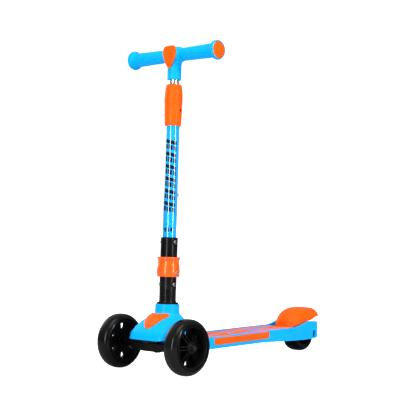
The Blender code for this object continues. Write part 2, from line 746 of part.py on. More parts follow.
def column(base):
    """The fixed lower half of the steering column and its fold hinge."""
    bore = TUBE_RADIUS + FIT
    wall = sleeve(TUBE_RADIUS, TUBE_RADIUS - TUBE_WALL, 89.2, 197.7)
    tube = new_part("column_tube", wall, "blue_tube", base)
    ring = turned([(bore, 144.6), (24.4, 144.6), (23.4, 147.5), (bore, 147.5)])
    new_part("column_ring", ring, "black_plastic", base)
    profile = [(0, 198.0), (bore, 198.0), (bore, SLEEVE_FOOT), (SLEEVE_RADIUS + 0.6, SLEEVE_FOOT),
               (SLEEVE_RADIUS, 158.0), (SLEEVE_RADIUS, SPLIT - 0.15), (0, SPLIT - 0.15)]
    lower = new_part("lower_sleeve", turned(profile), "black_plastic", base)
    relief = block((-30, 8.0, SPLIT - 0.15 - RELIEF_DEPTH), (30, 30, SPLIT + 10))
    root = block((-4.3, 10.5, SPLIT - 9.0), (4.3, 17.2, SPLIT - 1.5))
    cut(lower, relief, *bolt_flats(LOWER_BOLT))
    join(lower, root, knuckle(-4.4, 4.4))
    cut(lower, bolt_hole(LOWER_BOLT), knuckle(-20, 20, HINGE_PIN_RADIUS + FIT))
    cut(tube, bolt_hole(LOWER_BOLT))
    bolt_and_nut("lower_sleeve", LOWER_BOLT, base)
    new_part("hinge_pin", knuckle(-8.5, 8.5, HINGE_PIN_RADIUS), "steel", base)


def stem(pivot):
    """The folding upper half: sleeve, tube, bush and the fixed half of the height clamp."""
    bore = TUBE_RADIUS + FIT
    profile = [(0, SPLIT + 0.15), (SLEEVE_RADIUS, SPLIT + 0.15),
               (SLEEVE_RADIUS, SLEEVE_TOP), (bore, SLEEVE_TOP),
               (bore, STEM_TUBE_FOOT - FIT), (0, STEM_TUBE_FOOT - FIT)]
    upper = new_part("upper_sleeve", turned(profile), "black_plastic", pivot)
    relief = block((-30, 8.0, SPLIT - 10), (30, 30, SPLIT + 0.15 + RELIEF_DEPTH))
    cut(upper, relief, *bolt_flats(UPPER_BOLT))
    join(upper, upper_lug(4.8, 8.6), upper_lug(-8.6, -4.8))
    cut(upper, bolt_hole(UPPER_BOLT), knuckle(-20, 20, HINGE_PIN_RADIUS + FIT))
    bolt_and_nut("upper_sleeve", UPPER_BOLT, pivot)
    wall = sleeve(TUBE_RADIUS, TUBE_RADIUS - TUBE_WALL, STEM_TUBE_FOOT, STEM_TUBE_TOP)
    tube = new_part("stem_tube", wall, "blue_tube", pivot)
    cut(tube, bolt_hole(UPPER_BOLT))
    cut(tube, spun(rod(2.3, 5, 30, "X", (0, 0, STOP_SCREW), SMALL_RING), STOP_SCREW_TURN, "Z"))
    shank = [(0, 8.5), (2.0, 8.5), (2.0, 15.3), (3.6, 15.3), (3.2, 17.6), (0, 18.3)]
    stop = spun(turned(shank, "X", (0, 0, STOP_SCREW), SMALL_RING), STOP_SCREW_TURN, "Z")
    new_part("stop_screw", stop, "steel", pivot)
    bush = sleeve(TUBE_RADIUS - TUBE_WALL - FIT, INNER_TUBE_RADIUS + FIT, 560.0, STEM_TUBE_TOP - 0.3)
    new_part("stem_bush", bush, "black_plastic", pivot)
    clamp_profile = [(bore, CLAMP_FOOT), (17.6, CLAMP_FOOT), (18.3, CLAMP_FOOT + 1.2),
                     (19.0, 556.0), (19.5, 574.0),
                     (19.5, CLAMP_TOP - 0.8), (19.0, CLAMP_TOP), (bore, CLAMP_TOP)]
    base = new_part("clamp_base", turned(clamp_profile), "orange_plastic", pivot)
    cut(base, spun(rod(3.0, 10, 30, "X", (0, 0, CLAMP_SCREW), SMALL_RING), CLAMP_SCREW_TURN, "Z"))
    clamp_screw = spun(rod(2.6, 15.4, 18.2, "X", (0, 0, CLAMP_SCREW), SMALL_RING), CLAMP_SCREW_TURN, "Z")
    new_part("clamp_screw", clamp_screw, "steel", pivot)


def twist_knob(pivot):
    """The twisting half of the height clamp."""
    bore = TUBE_RADIUS + FIT + 0.1
    neck = INNER_TUBE_RADIUS + FIT + 0.1
    profile = [(bore, KNOB_FOOT), (19.2, KNOB_FOOT), (19.8, KNOB_FOOT + 0.8),
               (20.3, 600.0), (19.6, 614.0), (18.0, 625.0),
               (16.6, KNOB_TOP), (neck, KNOB_TOP), (neck, STEM_TUBE_TOP + 0.6), (bore, STEM_TUBE_TOP + 0.6)]
    new_part("twist_knob", turned(profile), "orange_plastic", pivot)


def lock_collar(pivot, button_pivot):
    """The sliding collar that locks the fold, with its press button."""
    bore = 19.1
    profile = [(bore, COLLAR_FOOT), (24.0, COLLAR_FOOT), (24.6, COLLAR_FOOT + 1.0),
               (25.0, 212.0), (25.0, 221.0), (23.9, 229.0), (22.9, 235.0), (23.4, 240.0),
               (25.4, 244.5), (25.2, 246.4), (24.0, COLLAR_TOP), (bore, COLLAR_TOP)]
    made = new_part("lock_collar", turned(profile), "orange_plastic", pivot)
    cut(made, rod(4.3, 20.6, 40, "X", (0, 0, BUTTON_HEIGHT), SMALL_RING))
    new_part("lock_button", turned([(0, 22.4), (4.0, 22.4), (4.0, 25.6), (3.2, 26.6), (0, 26.9)], "X",
                                   (0, 0, BUTTON_HEIGHT), SMALL_RING), "chrome", button_pivot)


# --- handlebar ----------------------------------------------------------------------------------


def handlebar(pivot):
    """The sliding tube with the tee, the cross tube, both grips and their end caps."""
    tube = sleeve(INNER_TUBE_RADIUS, INNER_TUBE_RADIUS - TUBE_WALL, INNER_TUBE_FOOT, BAR_AXIS - 13.0)
    new_part("inner_tube", tube, "chrome", pivot)
    centre = (0, 0, BAR_AXIS)
    cross = 11.0
    hub = [(cross + FIT, -26.7), (14.6, -26.7), (15.2, -24.0), (17.4, -18.0), (19.3, -10.0),
           (19.8, 0.0), (19.3, 10.0),
           (17.4, 18.0), (15.2, 24.0), (14.6, 26.7), (cross + FIT, 26.7)]
    tee = new_part("tee_head", turned(hub, "X", centre), "blue_plastic", pivot)
    post = [(0, TEE_FOOT), (15.0, TEE_FOOT), (15.5, TEE_FOOT + 0.8),
            (15.5, BAR_AXIS - 21.0), (17.5, BAR_AXIS - 12.0),
            (17.5, BAR_AXIS), (0, BAR_AXIS)]
    join(tee, turned(post))
    cross_bore = rod(cross + FIT, -40, 40, "X", centre)
    cut(tee, cross_bore, rod(INNER_TUBE_RADIUS + FIT, TEE_FOOT - 20, BAR_AXIS - 12.6))
    cut(tee, block((-40, -40, TEE_FOOT + 8), (40, -16.3, BAR_AXIS + 40)))
    new_part("cross_tube", sleeve(cross, cross - TUBE_WALL, -124.0, 124.0, "X", centre, 24), "steel", pivot)
    new_part("tee_badge", tee_badge_shape(), "orange_plastic", pivot)
    for side, name in ((1, "left"), (-1, "right")):
        face = kept if side > 0 else mirrored
        grip = [(cross + FIT, GRIP_START), (14.3, GRIP_START), (15.8, 112.0), (16.6, 117.5),
                (20.4, 121.0), (21.5, 124.5),
                (20.8, 129.2), (19.7, GRIP_END), (19.1, GRIP_END), (19.1, 126.0), (cross + FIT, 126.0)]
        new_part(f"grip_{name}", face(turned(grip, "X", centre)), "blue_grip", pivot)
        cap = [(0, 126.3), (18.7, 126.3), (18.7, 128.6), (17.4, 130.2), (10.0, 131.0), (0, 131.0)]
        new_part(f"grip_cap_{name}", face(turned(cap, "X", centre)), "orange_plastic", pivot)


def tee_badge_shape():
    """A shield like a guitar pick: round shoulders above and a point below, with a soft edge."""
    half, top, foot = 20.0, BAR_AXIS + 19.5, BAR_AXIS - 31.0
    right = [(0.0, foot), (3.4, foot + 1.0), (11.5, foot + 12.5), (17.4, foot + 24.0), (half, foot + 35.0),
             (half - 0.7, foot + 43.0), (half - 3.8, foot + 48.0), (half - 9.5, top - 0.6)]
    outline = right + [(0.0, top)] + [(-x, z) for x, z in reversed(right[1:])]
    middle = Vector((0.0, 0.0, foot + 29.0))

    def shrunk(scale, forward):
        return [(x * scale, forward, middle.z + (z - middle.z) * scale) for x, z in outline]

    layers = ((0.98, -16.6), (1.0, -17.4), (0.97, -19.2), (0.86, -20.6), (0.5, -21.6))
    return loft([shrunk(scale, forward) for scale, forward in layers], False)


# --- fender brake -------------------------------------------------------------------------------


def quarter_round(t, reach):
    """Rise from 0 to 1 like a quarter ellipse while t goes from 0 to reach."""
    return sqrt(1 - (1 - min(t / reach, 1.0)) ** 2)


def fender_dome(inset):
    """The helmet-like outer form of the fender, shrunk by an inset for its inside."""
    length = FENDER_BACK - FENDER_FRONT
    points = 14
    foot = 64.0
    rings = []
    for t in (0.0, 0.035, 0.1, 0.2, 0.34, 0.5, 0.66, 0.82, 1.0):
        half = (FENDER_HALF + FENDER_FLARE * t - inset) * (0.42 + 0.58 * quarter_round(t, 0.42))
        crown = foot + (FENDER_TOP - inset - foot) * (0.12 + 0.88 * quarter_round(t, 0.55))
        crown -= 20.0 * max(t - 0.55, 0.0) ** 2
        y = FENDER_FRONT + inset + length * t
        ring = []
        for i in range(points + 1):
            angle = pi * i / points
            across = abs(cos(angle)) ** 0.72 * (1 if cos(angle) > 0 else -1)
            ring.append((half * across, y, FENDER_SKIRT + (crown - FENDER_SKIRT) * sin(angle) ** 0.72))
        rings.append(ring)
    return loft(rings, False)


def fender(pivot):
    """The rear fender, which the rider's heel presses onto the wheel, and the pad under it."""
    made = new_part("fender", fender_dome(0.0), "orange_plastic", pivot)
    under = [(150, 0), (150, 61.0), (206, 62.5), (217, 65.0), (250, 75.0), (275, 77.0),
             (303, 86.0), (340, 87.0), (340, 0)]
    cut(made, fender_dome(FENDER_WALL), prism(under, "X", -60, 60))
    for low, high in ((-16.5, -12.5), (12.5, 16.5)):
        join(made, block((low, FENDER_FRONT + 1.6, 58.5), (high, FENDER_PIVOT.y + 8.0, 71.0)))
    cut(made, rod(2.0 + FIT, -60, 60, "X", (0, FENDER_PIVOT.y, FENDER_PIVOT.z), SMALL_RING))
    reach = REAR_WHEEL_RADIUS + 6.0
    arch = [(REAR_AXLE_Y + reach * cos(a), REAR_WHEEL_RADIUS + reach * sin(a))
            for a in arc_angles(radians(112), radians(72), 6)]
    pad_outline = arch + [(arch[-1][0], FENDER_TOP), (arch[0][0], FENDER_TOP)]
    pad = new_part("brake_pad", prism(pad_outline, "X", -13, 13), "black_plastic", pivot)
    combine(pad, fender_dome(FENDER_WALL + FIT), "INTERSECT")


def fender_fixings():
    """The pin that the fender turns on and its return spring."""
    centre = (0, FENDER_PIVOT.y, FENDER_PIVOT.z)
    new_part("fender_pin", rod(2.0, -45.0, 45.0, "X", centre, SMALL_RING), "steel")
    new_part("fender_spring", sleeve(3.6, 2.3, -10.0, 10.0, "X", centre, SMALL_RING), "steel")


# --- assembly -----------------------------------------------------------------------------------


def clear_scene():
    """Start from nothing."""
    for item in list(bpy.data.objects):
        bpy.data.objects.remove(item, do_unlink=True)


def build():
    """Build the scooter, each moving group on an empty at its joint."""
    clear_scene()
    deck_shell()
    deck_trim()
    front_housing()
    nose_badge()
    steering_bracket()
    kingpin()
    rear_axle()
    fender_fixings()
    steering_axis = pivot_empty("steering_axis", KINGPIN_FOOT, KINGPIN_FOOT)
    truck(steering_axis)
    for side, name in ((1, "left"), (-1, "right")):
        hub_centre = Vector((side * FRONT_TRACK, FRONT_AXLE_Y, FRONT_AXLE_Z))
        wheel_axis = pivot_empty(f"wheel_{name}_axis", hub_centre - KINGPIN_FOOT, hub_centre, steering_axis)
        front_wheel(side, name, wheel_axis)
    rear_centre = (0.0, REAR_AXLE_Y, REAR_WHEEL_RADIUS)
    rear_wheel(pivot_empty("rear_wheel_axis", rear_centre, rear_centre))
    fender(pivot_empty("fender_axis", FENDER_PIVOT, FENDER_PIVOT))
    column(pivot_empty("column_base", stem_point(0, 0), (0, 0, 0), None, STEM_RAKE))
    fold_datum = (0.0, HINGE_BACK, SPLIT)
    fold_axis = pivot_empty("fold_axis", stem_point(HINGE_BACK, SPLIT), fold_datum, None, STEM_RAKE)
    stem(fold_axis)

    def stem_pivot(name, datum, parent, parent_datum):
        return pivot_empty(name, Vector(datum) - Vector(parent_datum), datum, parent)

    twist_knob(stem_pivot("twist_axis", (0, 0, KNOB_FOOT), fold_axis, fold_datum))
    collar_datum = (0, 0, COLLAR_FOOT)
    collar_axis = stem_pivot("collar_axis", collar_datum, fold_axis, fold_datum)
    button_axis = stem_pivot("button_axis", (0, 0, BUTTON_HEIGHT), collar_axis, collar_datum)
    lock_collar(collar_axis, button_axis)
    handlebar(stem_pivot("height_axis", (0, 0, STEM_TUBE_TOP), fold_axis, fold_datum))


build()
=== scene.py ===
"""Looks of a folding three-wheeled kick scooter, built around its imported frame.

The rider faces -Y, with +X on the rider's left and +Z up.  Pieces are modelled in millimetres and
written in metres, in the frame's own place.  Pieces of the steering column are drawn along its axis,
Z up from the point where that axis meets the ground, and are leant back as their mesh is made.
"""

import json
import logging
import math
from dataclasses import dataclass, field
from enum import Enum

import bmesh
import bpy
from mathutils import Matrix, Vector
from mathutils.bvhtree import BVHTree

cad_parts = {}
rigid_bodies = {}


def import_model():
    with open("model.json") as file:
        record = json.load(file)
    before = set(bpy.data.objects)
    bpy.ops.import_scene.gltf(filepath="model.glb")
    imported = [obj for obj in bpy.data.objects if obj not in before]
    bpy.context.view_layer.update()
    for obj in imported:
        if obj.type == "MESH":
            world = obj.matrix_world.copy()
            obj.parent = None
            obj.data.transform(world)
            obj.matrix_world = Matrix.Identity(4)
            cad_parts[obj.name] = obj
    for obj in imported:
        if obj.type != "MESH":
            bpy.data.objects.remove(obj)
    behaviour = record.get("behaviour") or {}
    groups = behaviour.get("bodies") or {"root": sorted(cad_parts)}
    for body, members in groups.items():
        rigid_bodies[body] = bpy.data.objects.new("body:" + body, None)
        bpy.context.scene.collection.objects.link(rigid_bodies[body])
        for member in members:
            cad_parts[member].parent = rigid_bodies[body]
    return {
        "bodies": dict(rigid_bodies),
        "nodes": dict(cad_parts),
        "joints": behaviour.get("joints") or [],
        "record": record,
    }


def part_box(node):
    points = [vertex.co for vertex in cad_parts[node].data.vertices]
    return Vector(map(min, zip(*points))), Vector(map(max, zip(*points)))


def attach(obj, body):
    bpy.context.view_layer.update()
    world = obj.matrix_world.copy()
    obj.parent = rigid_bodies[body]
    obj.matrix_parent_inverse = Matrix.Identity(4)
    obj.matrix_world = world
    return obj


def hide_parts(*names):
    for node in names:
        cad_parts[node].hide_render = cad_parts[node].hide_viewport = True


LOG = logging.getLogger("scooter")
MM = 0.001
TAU = 2.0 * math.pi
MERGE = 0.001
SMOOTH_ANGLE = math.radians(38.0)
FULL_TURN = 96
SMALL_TURN = 40
CORNER_SHARE = 0.49
NOISE_RANGE = (0.3, 0.7)
WHITE = (1.0, 1.0, 1.0, 1.0)

Point2 = tuple[float, float]
Colour = tuple[float, float, float]
Body = bmesh.types.BMesh
Socket = bpy.types.NodeSocket


class Side(Enum):
    """The rider's two sides, as the sign of X."""

    LEFT = 1
    RIGHT = -1

    @property
    def word(self) -> str:
        """The side's name in piece names."""
        return self.name.lower()


class Axis(Enum):
    """The direction that a turned or extruded shape is made along."""

    X = "X"
    Y = "Y"
    Z = "Z"


# --- finishes -----------------------------------------------------------------------------------


class Bench:
    """A new node material and short ways to add nodes to it."""

    def __init__(self, name: str) -> None:
        """Start a material with its Principled shader and object coordinates."""
        self.material = bpy.data.materials.new(name)
        self.material.use_nodes = True
        self.nodes = self.material.node_tree.nodes
        self.links = self.material.node_tree.links
        self.shader = self.nodes["Principled BSDF"]
        self.coords = self.nodes.new("ShaderNodeTexCoord")

    def feed(self, socket: Socket, value: object) -> None:
        """Link a socket to an input, or set the input's own value.

        Args:
            socket: The input to fill.
            value: An output socket, a number or a tuple.
        """
        if isinstance(value, Socket):
            self.links.new(value, socket)
        else:
            socket.default_value = value

    def math(self, operation: str, first: object, second: object = 0.0, third: object = 0.0) -> Socket:
        """Add a Math node.

        Args:
            operation: The node's operation.
            first: The first input.
            second: The second input.
            third: The third input, where the operation has one.

        Returns:
            The node's output.
        """
        node = self.nodes.new("ShaderNodeMath")
        node.operation = operation
        for socket, value in zip(node.inputs, (first, second, third)):
            self.feed(socket, value)
        return node.outputs[0]

    def band(self, value: object, centre: float, half: float, soft: float) -> Socket:
        """Give 1 where a value is within half of a centre, with a soft edge."""
        away = self.math("ABSOLUTE", self.math("SUBTRACT", value, centre))
        return self.ramp(away, half - soft, half + soft, 1.0, 0.0)

    def ramp(self, value: object, low: float, high: float, start: float, end: float) -> Socket:
        """Map a range to another, clamped.

        Args:
            value: The value to map.
            low: The range's low end.
            high: The range's high end.
            start: What the low end becomes.
            end: What the high end becomes.

        Returns:
            The mapped output.
        """
        node = self.nodes.new("ShaderNodeMapRange")
        for socket, number in zip(node.inputs, (value, low, high, start, end)):
            self.feed(socket, number)
        return node.outputs[0]

    def noise(self, scale: float, detail: float, vector: Socket | None = None) -> Socket:
        """Add a noise texture on object coordinates, or on a given vector.

        Args:
            scale: How fine the noise is, per metre.
            detail: How many octaves it has.
            vector: Other coordinates to read.

        Returns:
            The noise's value.
        """
        node = self.nodes.new("ShaderNodeTexNoise")
        node.inputs["Scale"].default_value = scale
        node.inputs["Detail"].default_value = detail
        self.feed(node.inputs["Vector"], vector if vector is not None else self.coords.outputs["Object"])
        return node.outputs[0]

    def mix(self, factor: object, first: object, second: object) -> Socket:
        """Mix two colours.

        Args:
            factor: How much of the second shows.
            first: A colour or a colour output.
            second: A colour or a colour output.

        Returns:
            The mixed colour.
        """
        node = self.nodes.new("ShaderNodeMix")
        node.data_type = "RGBA"
        self.feed(node.inputs["Factor"], factor)
        for socket, value in ((node.inputs["A"], first), (node.inputs["B"], second)):
            self.feed(socket, (*value, 1.0) if isinstance(value, tuple) else value)
        return node.outputs["Result"]

    def parts(self, vector: Socket) -> tuple[Socket, ...]:
        """Split a vector into its three parts."""
        node = self.nodes.new("ShaderNodeSeparateXYZ")
        self.links.new(vector, node.inputs[0])
        return tuple(node.outputs)

    def bump(self, height: Socket, strength: float, depth: float) -> None:
        """Raise the shader's surface by a height.

        Args:
            height: The height, from 0 to 1.
            strength: How much the bump counts.
            depth: How deep a full height is, in metres.
        """
        node = self.nodes.new("ShaderNodeBump")
        node.inputs["Strength"].default_value = strength
        node.inputs["Distance"].default_value = depth
        self.links.new(height, node.inputs["Height"])
        self.links.new(node.outputs[0], self.shader.inputs["Normal"])


@dataclass(frozen=True)
class Finish:
    """A moulded, lacquered or plated surface with slight tone, gloss and grain changes."""

    name: str
    colour: Colour
    roughness: float
    metallic: float = 0.0
    coat: float = 0.0
    specular: float = 0.5
    tone: float = 0.08
    tone_scale: float = 9.0
    gloss_change: float = 0.05
    grain_scale: float = 1400.0
    grain: float = 0.12
    grain_depth: float = 0.00006
    gloss_scale: float = 55.0
    coat_roughness: float = 0.06
    lift: float = 0.02

    def pigment(self, bench: Bench) -> Socket:
        """The surface's colour, a little lighter and darker in places.

        Args:
            bench: The material being made.

        Returns:
            The colour output.
        """
        dark = tuple(value * (1.0 - self.tone) for value in self.colour)
        light = tuple(min(1.0, value * (1.0 + self.tone) + self.lift * self.tone)
                      for value in self.colour)
        return bench.mix(bench.ramp(bench.noise(self.tone_scale, 3.0), *NOISE_RANGE, 0.0, 1.0), dark,
                         light)

    def vary_gloss(self, bench: Bench, noise: Socket) -> None:
        """Let a noise make the surface a little duller and glossier in places."""
        gloss = bench.ramp(noise, *NOISE_RANGE, self.roughness - self.gloss_change,
                           self.roughness + self.gloss_change)
        bench.links.new(gloss, bench.shader.inputs["Roughness"])

    def surface(self, bench: Bench) -> None:
        """Add the gloss changes and the fine grain of the moulding.

        Args:
            bench: The material being made.
        """
        self.vary_gloss(bench, bench.noise(self.gloss_scale, 4.0))
        bench.bump(bench.noise(self.grain_scale, 2.0), self.grain, self.grain_depth)

    def material(self) -> bpy.types.Material:
        """The finish's material, made once.

        Returns:
            The material.
        """
        name = f"{self.name}_finish"
        made = bpy.data.materials.get(name)
        if made:
            return made
        bench = Bench(name)
        bench.shader.inputs["Metallic"].default_value = self.metallic
        bench.shader.inputs["Coat Weight"].default_value = self.coat
        bench.shader.inputs["Coat Roughness"].default_value = self.coat_roughness
        bench.shader.inputs["Specular IOR Level"].default_value = self.specular
        bench.links.new(self.pigment(bench), bench.shader.inputs["Base Color"])
        self.surface(bench)
        return bench.material


@dataclass(frozen=True)
class BrushedSteel(Finish):
    """Zinc-plated or turned steel with fine lines."""

    line_scale: float = 2200.0
    line_squeeze: tuple[float, float, float] = (0.06, 1.0, 1.0)

    def surface(self, bench: Bench) -> None:
        """Draw the fine lines across the part.

        Args:
            bench: The material being made.
        """
        mapping = bench.nodes.new("ShaderNodeMapping")
        mapping.inputs["Scale"].default_value = self.line_squeeze
        bench.links.new(bench.coords.outputs["Object"], mapping.inputs["Vector"])
        lines = bench.noise(self.line_scale, 2.0, mapping.outputs[0])
        self.vary_gloss(bench, lines)
        bench.bump(lines, self.grain, self.grain_depth)


@dataclass(frozen=True)
class StripedTube(Finish):
    """Gloss lacquer on a tube, with a printed run of slanted bars on its front.

    The tube's map gives the angle round it, from 0 to 1, and the height in metres.
    """

    ink: Colour = (0.004, 0.005, 0.008)
    middle: float = -0.165
    half: float = 0.148
    foot: float = 0.345
    head: float = 0.509
    pitch: float = 0.0273
    slant: float = 0.022
    marks_height: float = 0.307
    marks_half: float = 0.0042
    marks_reach: float = 0.12
    marks_pitch: float = 13.0

    def pigment(self, bench: Bench) -> Socket:
        """The lacquer with its bars, a broken pair for each step, and three small marks below.

        Args:
            bench: The material being made.

        Returns:
            The colour output.
        """
        base = super().pigment(bench)
        around, height, _ = bench.parts(bench.coords.outputs["UV"])
        shifted = bench.math("FRACT", bench.math("SUBTRACT", around, self.middle - 0.5))
        facing = bench.math("SUBTRACT", shifted, 0.5)
        side = bench.math("ABSOLUTE", facing)
        slid = bench.math("MULTIPLY_ADD", facing, self.slant, height)
        along = bench.math("SUBTRACT", slid, self.foot)
        step = bench.math("FRACT", bench.math("DIVIDE", along, self.pitch))
        lane = bench.ramp(side, self.half - 0.004, self.half + 0.004, 1.0, 0.0)
        notch = bench.band(side, self.half * 0.42, 0.011, 0.004)
        bars = bench.math("MAXIMUM", bench.band(step, 0.24, 0.19, 0.02),
                          bench.band(step, 0.68, 0.15, 0.02))
        gap = bench.math("MULTIPLY", notch, bench.band(step, 0.22, 0.2, 0.02))
        bars = bench.math("MULTIPLY", bars, bench.math("SUBTRACT", 1.0, gap))
        run = bench.band(slid, (self.foot + self.head) / 2, (self.head - self.foot) / 2, 0.0008)
        print_mask = bench.math("MULTIPLY", bench.math("MULTIPLY", bars, lane), run)
        small = bench.band(bench.math("FRACT", bench.math("MULTIPLY_ADD", facing, self.marks_pitch, 0.5)),
                           0.5, 0.34, 0.05)
        foot_row = bench.math("MULTIPLY", bench.band(height, self.marks_height, self.marks_half, 0.0006),
                              small)
        foot_row = bench.math("MULTIPLY", foot_row,
                              bench.ramp(side, self.marks_reach, self.marks_reach + 0.005, 1.0, 0.0))
        return bench.mix(bench.math("MAXIMUM", print_mask, foot_row), base, self.ink)


@dataclass(frozen=True)
class FlowPrint(Finish):
    """The deck's printed sheet: flowing lines along the deck over a warm ground."""

    line: Colour = (0.03, 0.36, 0.80)
    deep: Colour = (0.72, 0.09, 0.01)
    pale: Colour = (0.93, 0.19, 0.02)
    broad_pitch: float = 125.0
    fine_pitch: float = 250.0
    sway: float = 0.011
    drift: float = 0.075
    dot_scale: float = 260.0
    dot_depth: float = 0.0002

    def pigment(self, bench: Bench) -> Socket:
        """The ground with broad pale flames, thin deep lines and light blue ribbons.

        Args:
            bench: The material being made.

        Returns:
            The colour output.
        """
        base = super().pigment(bench)
        across, along, _ = bench.parts(bench.coords.outputs["Object"])
        sway = bench.math("MULTIPLY", bench.math("SINE", bench.math("MULTIPLY", along, 21.0)), self.sway)
        drift = bench.math("MULTIPLY", bench.math("SUBTRACT", bench.noise(8.0, 1.0), 0.5), self.drift)
        stream = bench.math("ADD", bench.math("ADD", bench.math("ABSOLUTE", across), sway), drift)
        broad = bench.math("SINE", bench.math("MULTIPLY", stream, self.broad_pitch))
        slide = bench.math("MULTIPLY", along, 9.0)
        fine = bench.math("SINE", bench.math("MULTIPLY_ADD", stream, self.fine_pitch, slide))
        painted = bench.mix(bench.ramp(broad, 0.3, 0.8, 0.0, 1.0), base, self.pale)
        painted = bench.mix(bench.ramp(broad, -0.76, -0.80, 0.0, 1.0), painted, self.line)
        ribbons = bench.math("MULTIPLY", bench.ramp(fine, 0.76, 0.80, 0.0, 1.0),
                             bench.ramp(bench.noise(11.0, 0.0), 0.5, 0.52, 0.0, 1.0))
        painted = bench.mix(ribbons, painted, self.line)
        return bench.mix(bench.ramp(fine, -0.84, -0.9, 0.0, 0.8), painted, self.deep)

    def surface(self, bench: Bench) -> None:
        """Add the anti-slip sheet's raised dots.

        Args:
            bench: The material being made.
        """
        dots = bench.nodes.new("ShaderNodeTexVoronoi")
        dots.inputs["Scale"].default_value = self.dot_scale
        dots.inputs["Randomness"].default_value = 0.25
        bench.links.new(bench.coords.outputs["Object"], dots.inputs["Vector"])
        raised = bench.ramp(dots.outputs["Distance"], 0.2, 0.5, 1.0, 0.0)
        gloss = bench.ramp(raised, 0.0, 1.0, self.roughness + self.gloss_change,
                           self.roughness - self.gloss_change)
        bench.links.new(gloss, bench.shader.inputs["Roughness"])
        bench.bump(raised, 0.5, self.dot_depth)


BLUE = Finish("blue_plastic", (0.0, 0.37, 0.84), 0.38, specular=0.12, coat=0.02, tone=0.04)
GRIP_BLUE = Finish("blue_grip", (0.0, 0.365, 0.80), 0.52, specular=0.1, tone=0.05, grain_scale=2600.0,
                   grain=0.22)
ORANGE = Finish("orange_plastic", (0.90, 0.108, 0.003), 0.38, specular=0.12, coat=0.02, tone=0.05)
GLOSS_ORANGE = Finish("orange_gloss_plastic", (0.90, 0.108, 0.003), 0.3, specular=0.25, coat=0.4,
                      tone=0.05)
BLACK = Finish("black_plastic", (0.003, 0.003, 0.0035), 0.38, specular=0.14, tone=0.25, gloss_change=0.07)
HUB_BLACK = Finish("hub_black_plastic", (0.002, 0.002, 0.0024), 0.42, specular=0.12, tone=0.3,
                   gloss_change=0.06)
SATIN_BLACK = Finish("sleeve_black_plastic", (0.003, 0.003, 0.0035), 0.33, specular=0.14, coat=0.08,
                     tone=0.2, gloss_change=0.06)
TYRE = Finish("smoke_tyre", (0.0022, 0.0022, 0.0026), 0.25, specular=0.12, coat=0.14, tone=0.3,
              gloss_change=0.05, grain=0.05)
TUBE = StripedTube("blue_tube", (0.0, 0.34, 0.86), 0.13, specular=0.5, coat=1.0, tone=0.03,
                   gloss_change=0.03,
                   grain=0.03)
PLAIN_TUBE = Finish("blue_tube_plain", (0.0, 0.34, 0.86), 0.13, specular=0.5, coat=1.0, tone=0.03,
                    grain=0.03)
CHROME = Finish("chrome", (0.82, 0.83, 0.85), 0.07, metallic=1.0, tone=0.02, gloss_change=0.02,
                grain=0.02)
STEEL = BrushedSteel("steel", (0.48, 0.48, 0.50), 0.30, metallic=1.0, tone=0.12, gloss_change=0.08,
                     grain=0.08)
DARK_STEEL = BrushedSteel("dark_steel", (0.045, 0.044, 0.046), 0.38, metallic=1.0, tone=0.2,
                          gloss_change=0.08)
SCREW_STEEL = BrushedSteel("screw_steel", (0.16, 0.16, 0.17), 0.36, metallic=1.0, tone=0.12,
                           gloss_change=0.08)
RUBBER = Finish("rubber", (0.006, 0.006, 0.006), 0.72, specular=0.2, tone=0.3, grain=0.3)
MAT = FlowPrint("deck_graphic", (0.92, 0.13, 0.006), 0.5, specular=0.02, gloss_change=0.06)

SLOT_FINISHES = {
    "blue_plastic": BLUE, "orange_plastic": ORANGE, "black_plastic": BLACK, "smoke_tyre": TYRE,
    "blue_tube": PLAIN_TUBE,
    "chrome": CHROME, "steel": STEEL, "blue_grip": GRIP_BLUE, "deck_graphic": MAT, "rubber": RUBBER,
}
DARK_STEEL_NODES = (
    "lower_sleeve_nut", "upper_sleeve_nut", "steering_bracket", "bracket_bolt", "kingpin", "kingpin_nut",
    "bearing_left_outer", "bearing_right_outer", "bearing_left_inner", "bearing_right_inner",
    "rear_bearing_left", "rear_bearing_right", "rear_spacer_left", "rear_spacer_right", "rear_axle",
    "front_axle_left", "front_axle_right",
)
NODE_FINISHES = {"truck_beam": HUB_BLACK, "rear_hub": HUB_BLACK} | dict.fromkeys(
    DARK_STEEL_NODES, DARK_STEEL)


# --- shapes -------------------------------------------------------------------------------------


def filleted(points: list[Point2], radii: dict[int, float], steps: int = 4) -> list[Point2]:
    """Round some corners of a closed outline.

    Args:
        points: The outline's corners.
        radii: The rounding's reach along each edge, by corner.
        steps: How many steps each rounding has.

    Returns:
        The outline with its rounded corners.
    """
    made: list[Point2] = []
    for i, point in enumerate(points):
        if i not in radii:
            made.append(point)
            continue
        here = Vector(point)
        before = Vector(points[i - 1]) - here
        after = Vector(points[(i + 1) % len(points)]) - here
        start = here + before.normalized() * min(radii[i], before.length * CORNER_SHARE)
        end = here + after.normalized() * min(radii[i], after.length * CORNER_SHARE)
        for step in range(steps + 1):
            t = step / steps
            place = start * (1 - t) ** 2 + here * (2 * t * (1 - t)) + end * t ** 2
            made.append((place.x, place.y))
    return made


